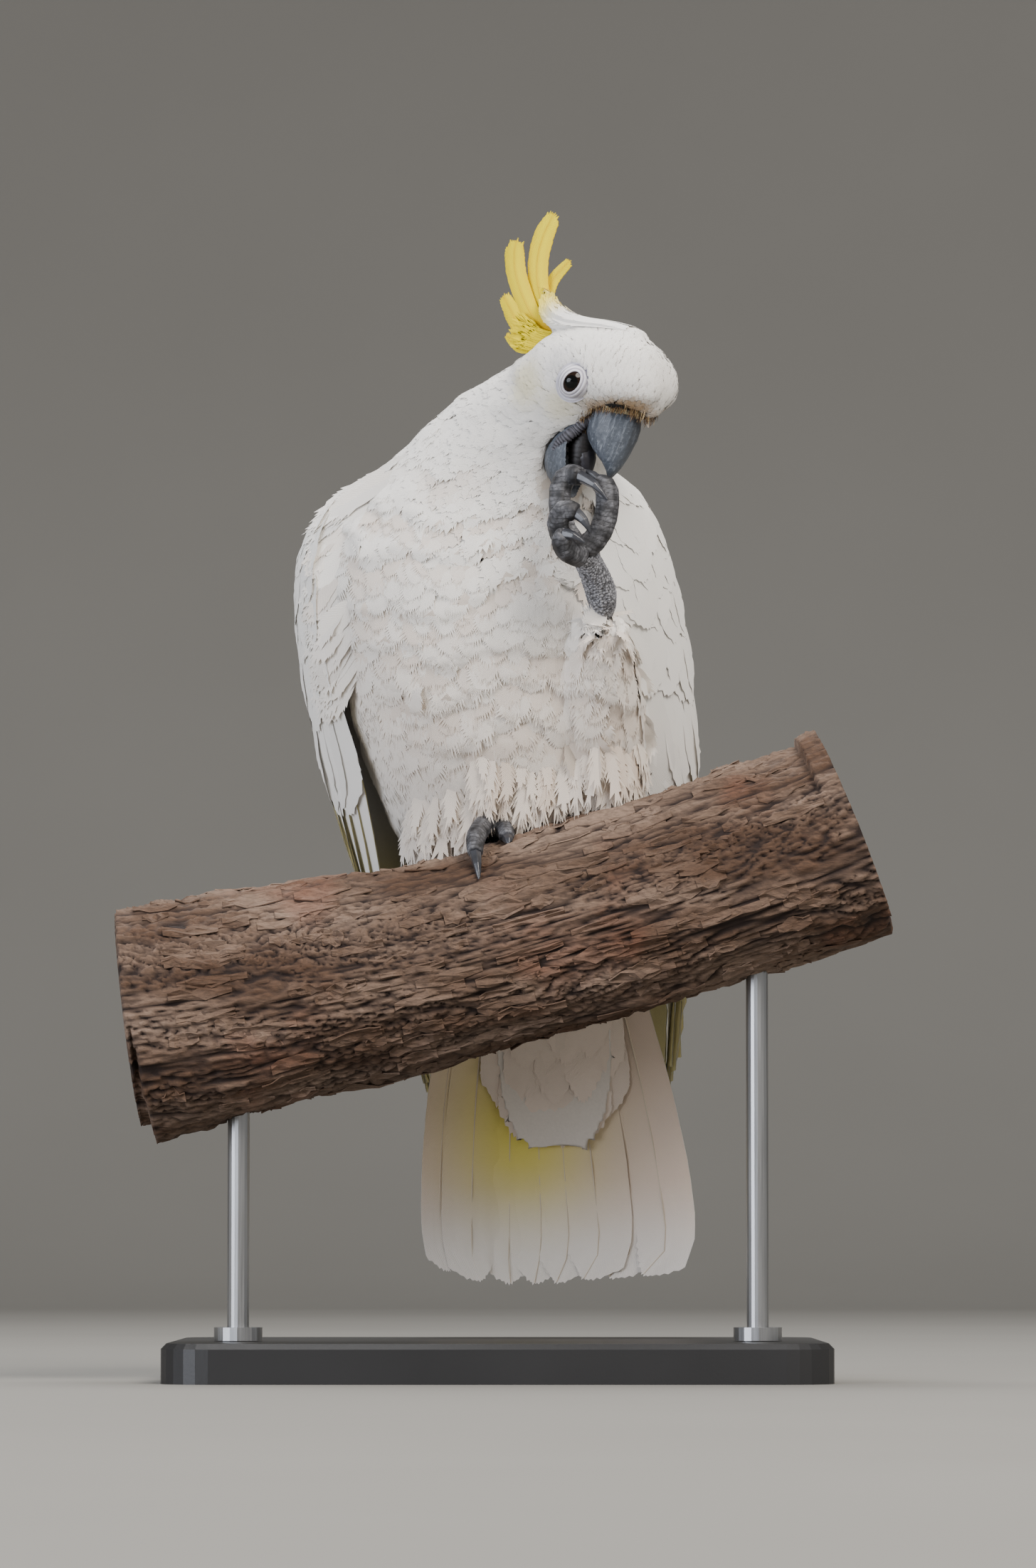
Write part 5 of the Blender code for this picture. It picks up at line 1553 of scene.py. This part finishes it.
def ridged_tube(name, points, radii, ridge_mm, height_mm, material, sides=20):
    """A fleshy fold with ridges across it. ridge_mm is the spacing of the ridges."""
    points = np.array(points)
    steps = np.linalg.norm(np.diff(points, axis=0), axis=1)
    run = np.concatenate([[0], np.cumsum(steps)]) / MM
    corners, heights = [], []
    for index, point in enumerate(points):
        along = Vector(points[min(index + 1, len(points) - 1)] - points[max(index - 1, 0)]).normalized()
        side = along.cross(head_right).normalized()
        other = along.cross(side)
        for turn in turns(sides):
            wave = 0.5 + 0.5 * math.sin(2 * math.pi * run[index] / ridge_mm + 0.6 * math.sin(turn * 2))
            radius = (radii[index] + height_mm * wave) * MM
            corners.append(Vector(point) + side * (radius * math.cos(turn))
                           + other * (radius * math.sin(turn)))
            heights.append(wave)
    faces = tube_faces(len(points), sides)
    faces += [tuple(range(sides))[::-1], tuple(range((len(points) - 1) * sides, len(points) * sides))]
    item = new_piece(name, corners, faces, material)
    store_values(item, "scale_height", heights)
    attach(item, "root")
    return item


def make_gape():
    gape = make_wrinkled_material("gape_skin", "#1e1e22", "#6d6c76", 0.8, 0.6)
    faces = surface_tree(["bill_lower", "bill_upper"])
    path = through(((8, -13, 0), (5.6, -16, 0), (3.3, -20.5, 0), (1.2, -25.3, 0), (-1.4, -29.5, 0),
                    (-2.6, -33.8, 0)), 50)
    points = []
    for forward, height, _ in path:
        start, way = in_head(forward, height, 40), -head_right
        hits = [tree.ray_cast(start, way, 0.034)[0] for tree in (coat_ground.tree, faces)]
        hits = [hit for hit in hits if hit]
        nearest = min(hits, key=lambda hit: (hit - start).length) if hits else in_head(forward, height, 9)
        points.append(nearest + way * 0.0011)
    points = np.array(points)
    for _ in range(6):
        points[1:-1] = (points[:-2] + 2 * points[1:-1] + points[2:]) / 4
    radii = 0.7 + 1.5 * np.sin(np.linspace(0.15, math.pi - 0.15, 50))
    for side, share in (("right", 0), ("left", 2)):
        mirrored = points - share * head_place(points)[:, 2:] * MM * np.array(head_right)
        fold = ridged_tube("gape_fold_" + side, mirrored, radii, 1.5, 0.75, gape)
    lining = make_wrinkled_material("mouth_lining", "#060505", "#191214", 0.8, 0.5)
    path = through(((5, -14, 0), (4, -20, 0), (5, -26, 0), (7, -32, 0), (8.6, -38, 0)), 30)
    points = np.array([in_head(*row) for row in path])
    radii = 3.0 + 3.2 * np.sin(np.linspace(0.2, math.pi - 0.4, 30))
    item = ridged_tube("mouth_lining", points, radii, 2.2, 0.3, lining)


def make_cere():
    cere_skin = make_wrinkled_material("cere_skin", "#4d4335", "#b3a988", 0.9, 0.65)
    cere = fused("cere_skin", ["cere"], 0.5, 6, cere_skin)
    ground = Ground(cere)
    rough = np.array([noise.noise(point / (1.6 * MM)) for point in map(Vector, ground.points)])
    raised(cere, 0.22 * MM * rough)
    store_values(cere, "scale_height", np.clip(0.55 + 0.9 * rough, 0, 1))
    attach(cere, "root")
    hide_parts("cere")
    # Painted shade: each nostril is a dark disc that stands for the shade inside the hole.
    dark = make_wrinkled_material("nostril_painted_shade", "#0c0908", "#221a15", 0.8, 0.7)
    for side, sign in (("left", -1), ("right", 1)):
        corners, faces, sides = [on_face(20.5, -1.7, sign, 0.9)], [], 28
        for step, turn in enumerate(turns(sides)):
            reach = 5.0 * math.cos(turn)
            rise = 1.35 * math.sin(turn) * (1 - (reach / 5.6) ** 2)
            corners.append(on_face(20.5 + 0.97 * reach, -1.7 + 0.24 * reach + rise, sign, 0.9))
            faces.append((0, 1 + step, 1 + (step + 1) % sides))
        nostril = new_piece("nostril_" + side, corners, faces, dark)
        store_values(nostril, "scale_height", np.zeros(len(corners)))
        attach(nostril, "root")
        ridge = [on_face(15.5 + 10.5 * share, -4.0 + 2.4 * share, sign, 0.5)
                 for share in np.linspace(0, 1, 26)]
        radii = 0.15 + 0.75 * np.sin(np.linspace(0.1, math.pi - 0.1, 26))
        rim = ridged_tube("nostril_rim_" + side, ridge, radii, 2.2, 0.15, cere_skin, 12)


def on_face(forward_mm, up_mm, sign, lift_mm):
    """The place on the side of the face at that distance forward and up."""
    start = in_head(forward_mm, up_mm, 40 * sign)
    hit, normal, _, _ = coat_ground.tree.ray_cast(start, head_right * -sign)
    if hit is None or (hit - start).length > 0.036:
        return in_head(forward_mm, up_mm, 8 * sign)
    return hit + normal * (lift_mm * MM)


def make_bristles():
    """Stained bristles which hang from the edge of the forehead over the root of the bill."""
    random = np.random.default_rng(51)
    near = surface_tree(["bill_upper", "cere"])
    surface = zip(coat_ground.points.tolist(), coat_ground.normals.tolist())
    edge = [(point, normal) for point, normal in surface
            if near.find_nearest(Vector(point), 0.0048)[0] is not None
            and head_place(np.array([point]))[0, 0] > 4]
    chosen = random.integers(0, len(edge), BRISTLE_COUNT)
    roots = np.array([edge[index][0] for index in chosen]) + random.normal(0, 0.0007, (BRISTLE_COUNT, 3))
    normals = np.array([edge[index][1] for index in chosen])
    ways = unit(normals * 0.55 - np.array(head_up) * 0.75 + np.array(head_forward) * 0.25
                + random.normal(0, 0.28, (BRISTLE_COUNT, 3)))
    ahead = np.interp(head_place(roots)[:, 0], (10, 26, 37), (1, 1.2, 2.0))
    lengths = (random.uniform(1.0, 3.0, BRISTLE_COUNT) * ahead)[:, None, None] * MM
    run = np.linspace(0, 1, 5)[None, :, None]
    bend = unit(-np.array(head_up) * 0.8 - normals * 0.6)[:, None]
    shafts = roots[:, None] + (ways[:, None] * run + bend * 0.4 * run ** 2) * lengths
    ups = np.broadcast_to(normals[:, None], shafts.shape)
    browns = np.array([linear(code)[:3] for code in ("#3d2a1a", "#6d4e2e", "#94734a", "#c4ab80")])
    piece = vane_piece("bill_bristles", shafts, ups, random.uniform(0.07, 0.14, BRISTLE_COUNT) * MM,
                       browns[random.integers(0, 4, BRISTLE_COUNT)], outline=((0, 0.6, 1), (1, 0.8, 0.3)),
                       material=plumage, columns=2, cup=0.3, tip_lift=0.0, fray=0.1, seed=52,
                       patches=patches_at(roots))


make_bill()
make_gape()
make_cere()
make_bristles()

# --- Eyes ------------------------------------------------------------------------------------
# Wet eyeballs, so dark a brown that iris and pupil hardly part, in bare bluish-white lids whose
# skin lies in fine rings of wrinkles. The opening is a little taller than wide.

EYE_OPEN_MM = (3.5, 5.2)
LID_OUTER_MM = (8.3, 9.9)
LID_RINGS, LID_STEPS = 22, 96
LID_TILT = math.radians(8)


def make_eyes():
    wet, tree, shader = new_material("wet_eye", Roughness=0.04, IOR=1.33)
    ring = add(tree, "Attribute", attribute_name="from_pupil").outputs["Fac"]
    place = add(tree, "TexCoord").outputs["Object"]
    fleck = add(tree, "TexNoise", {"Vector": place, "Scale": 900.0, "Detail": 3.0}).outputs["Fac"]
    iris = add(tree, "Mix", {0: fleck, 6: linear("#120b07"), 7: linear("#2a1a11")},
               data_type="RGBA").outputs[2]
    open_iris = add(tree, "MapRange", {"Value": ring, "From Min": 0.40, "From Max": 0.46}).outputs["Result"]
    tone = add(tree, "Mix", {0: open_iris, 6: linear("#030303"), 7: iris}, data_type="RGBA").outputs[2]
    plug(shader, Base_Color=tone)
    lid_skin, tree, shader = new_material("eyelid_skin", Roughness=0.55)
    crease = add(tree, "Attribute", attribute_name="fold").outputs["Fac"]
    place = add(tree, "TexCoord").outputs["Object"]
    mottle = add(tree, "TexNoise", {"Vector": place, "Scale": 700.0, "Detail": 3.0}).outputs["Fac"]
    pale = add(tree, "Mix", {0: mottle, 6: linear("#c9cbd6"), 7: linear("#ece9ec")},
               data_type="RGBA").outputs[2]
    tone = add(tree, "Mix", {0: crease, 6: linear("#9d98a6"), 7: pale}, data_type="RGBA").outputs[2]
    bump = add(tree, "Bump", {"Height": mottle, "Strength": 0.3, "Distance": 0.0002}).outputs["Normal"]
    plug(shader, Base_Color=tone, Normal=bump)
    for side, sign in (("left", -1), ("right", 1)):
        make_eyeball(side, sign, wet)
        make_lids(side, sign, lid_skin)


def eye_frame(side, sign):
    """The ball's radius and middle, the way that it looks, and the way across it."""
    low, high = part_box("eye_" + side)
    outward = eye_axis(sign)
    return (high.z - low.z) / 2, eye_middles[side], outward, -outward.cross(head_up) * sign


def make_eyeball(side, sign, wet):
    radius, centre, outward, ahead = eye_frame(side, sign)
    corners, ring = [centre + outward * (radius * 1.01)], [0.0]
    rings, steps = 28, 48
    for row in range(1, rings):
        angle = math.pi * row / rings
        bulge = 1 + 0.035 * math.exp(-(angle / 0.5) ** 2)
        for turn in turns(steps):
            across = ahead * math.cos(turn) + head_up * math.sin(turn)
            corners.append(centre + outward * (radius * bulge * math.cos(angle))
                           + across * (radius * math.sin(angle)))
            ring.append(angle)
    corners.append(centre - outward * radius)
    ring.append(math.pi)
    faces = [(0, 1 + step, 1 + (step + 1) % steps) for step in range(steps)]
    for row in range(rings - 2):
        for step in range(steps):
            corner, after = 1 + row * steps + step, 1 + row * steps + (step + 1) % steps
            faces.append((corner, corner + steps, after + steps, after))
    last = len(corners) - 1
    faces += [(last, last - steps + (step + 1) % steps, last - steps + step) for step in range(steps)]
    if sign < 0:
        faces = [face[::-1] for face in faces]
    eye = new_piece("eyeball_" + side, corners, faces, wet)
    store_values(eye, "from_pupil", ring)
    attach(eye, "root")
    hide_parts("eye_" + side)


def make_lids(side, sign, lid_skin):
    """Rings of skin from the eye's opening out under the edge of the coat."""
    radius, centre, outward, ahead = eye_frame(side, sign)
    radius /= MM
    corners, folds = [], []
    for row in range(LID_RINGS):
        share = row / (LID_RINGS - 1)
        for turn in turns(LID_STEPS):
            reach = [EYE_OPEN_MM[axis] + (LID_OUTER_MM[axis] - EYE_OPEN_MM[axis]) * share for axis in (0, 1)]
            x, y = reach[0] * math.cos(turn), reach[1] * math.sin(turn)
            x, y = (x * math.cos(LID_TILT) + y * math.sin(LID_TILT),
                    y * math.cos(LID_TILT) - x * math.sin(LID_TILT))
            across = ahead * (x * MM) + head_up * (y * MM)
            on_ball = math.sqrt(max(0.0, radius ** 2 - x * x - y * y)) + 0.3
            hit = coat_ground.tree.ray_cast(centre + across + outward * 0.03, -outward)[0]
            on_head = (hit - centre).dot(outward) / MM - 0.5 if hit else on_ball - 2
            blend = share * share * (3 - 2 * share)
            drift = noise.noise(Vector((math.cos(turn), math.sin(turn), 5)) * 2.2)
            wave = math.sin(share * math.pi * 6.2 + 0.5 * drift)
            ridge = 0.28 * wave * min(1, share * 4) * min(1, 3 - 3 * share) + 0.3 * math.sin(math.pi * share)
            cover = math.sqrt(max(0.0, (radius + 0.35) ** 2 - x * x - y * y))
            height = max(on_ball * (1 - blend) + on_head * blend, cover) + ridge
            corners.append(centre + across + outward * (height * MM))
            folds.append(min(1.0, max(0.0, 0.62 + 0.75 * wave * (1.2 - share))) if row else 0.25)
    inner = len(corners)
    for step in range(LID_STEPS):
        corners.append(centre + (corners[step] - centre) * 0.93)
        folds.append(0.0)
    faces = tube_faces(LID_RINGS, LID_STEPS)
    faces += [(inner + step, inner + (step + 1) % LID_STEPS, (step + 1) % LID_STEPS, step)
              for step in range(LID_STEPS)]
    if sign > 0:
        faces = [face[::-1] for face in faces]
    lids = new_piece("eyelids_" + side, corners, faces, lid_skin)
    store_values(lids, "fold", folds)
    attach(lids, "root")


make_eyes()

# --- Feet ------------------------------------------------------------------------------------
# Dry grey skin in small round scales on the shank and in broad scutes across the tops of the
# toes, dark in the seams and chalky on the crowns, and claws of dark polished horn.

SHANK_SCALE_MM = 1.35
SCUTE_MM = 2.1


def make_feet():
    foot_skin = make_wrinkled_material("scaly_skin", "#18181b", "#b0b1b8", 0.7, 0.6)
    claw_horn, tree, shader = new_material("claw_keratin", IOR=1.54, Coat_Weight=0.3, Coat_Roughness=0.2)
    place = add(tree, "TexCoord").outputs["Object"]
    cloud = add(tree, "TexNoise", {"Vector": place, "Scale": 260.0, "Detail": 4.0}).outputs["Fac"]
    tone = add(tree, "Mix", {0: cloud, 6: linear("#16171a"), 7: linear("#43454c")},
               data_type="RGBA").outputs[2]
    rough = add(tree, "MapRange", {"Value": cloud, "To Min": 0.25, "To Max": 0.45}).outputs["Result"]
    plug(shader, Base_Color=tone, Roughness=rough)
    for side in ("left", "right"):
        toes = [f"toe_{number}_{side}" for number in range(1, 5)]
        claws = [f"claw_{number}_{side}" for number in range(1, 5)]
        foot = fused("foot_" + side, ["shank_" + side, *toes], 0.5, 5, foot_skin)
        ground = Ground(foot)
        shank_tree = surface_tree(["shank_" + side])
        toe_trees = [surface_tree([toe]) for toe in toes]
        axes = []
        for toe in toes:
            points = np.array([corner.co[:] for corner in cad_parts[toe].data.vertices])
            middle_point = points.mean(axis=0)
            axes.append((middle_point, np.linalg.svd(points - middle_point, full_matrices=False)[2][0]))
        heights, on_toes = [], []
        for point in ground.points.tolist():
            point = Vector(point)
            distances = [tree.find_nearest(point)[3] for tree in toe_trees]
            on_shank = shank_tree.find_nearest(point)[3] < min(distances)
            on_toes.append(not on_shank)
            if on_shank:
                near, _ = noise.voronoi(point / (SHANK_SCALE_MM * MM))
                heights.append(min(1.0, (near[1] - near[0]) * 2.6))
            else:
                centre, axis = axes[int(np.argmin(distances))]
                run = (np.array(point) - centre) @ axis / MM / SCUTE_MM
                bend = 0.7 * noise.noise(point / (5 * MM))
                band = abs((run + bend) % 1 - 0.5) * 2
                near, _ = noise.voronoi(point / (1.9 * MM))
                chalk = 0.5 + 0.9 * noise.noise(point / (4 * MM))
                seam = min(1.0, 0.35 + (near[1] - near[0]) * 2.2)
                heights.append(min(1.0, (1 - band) * 3.2) * seam * chalk * 0.42)
        heights = np.clip(heights, 0, 1)
        plump = np.where(on_toes, 1.1 if side == "left" else 0.4, 0.0)
        raised(foot, ((heights - 0.55) * 0.36 + plump) * MM)
        store_values(foot, "scale_height", heights)
        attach(foot, "root")
        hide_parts("shank_" + side, *toes)
        claw_piece = fused("claws_" + side, claws, 0.3, 4, claw_horn)
        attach(claw_piece, "root")
        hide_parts(*claws)


make_feet()
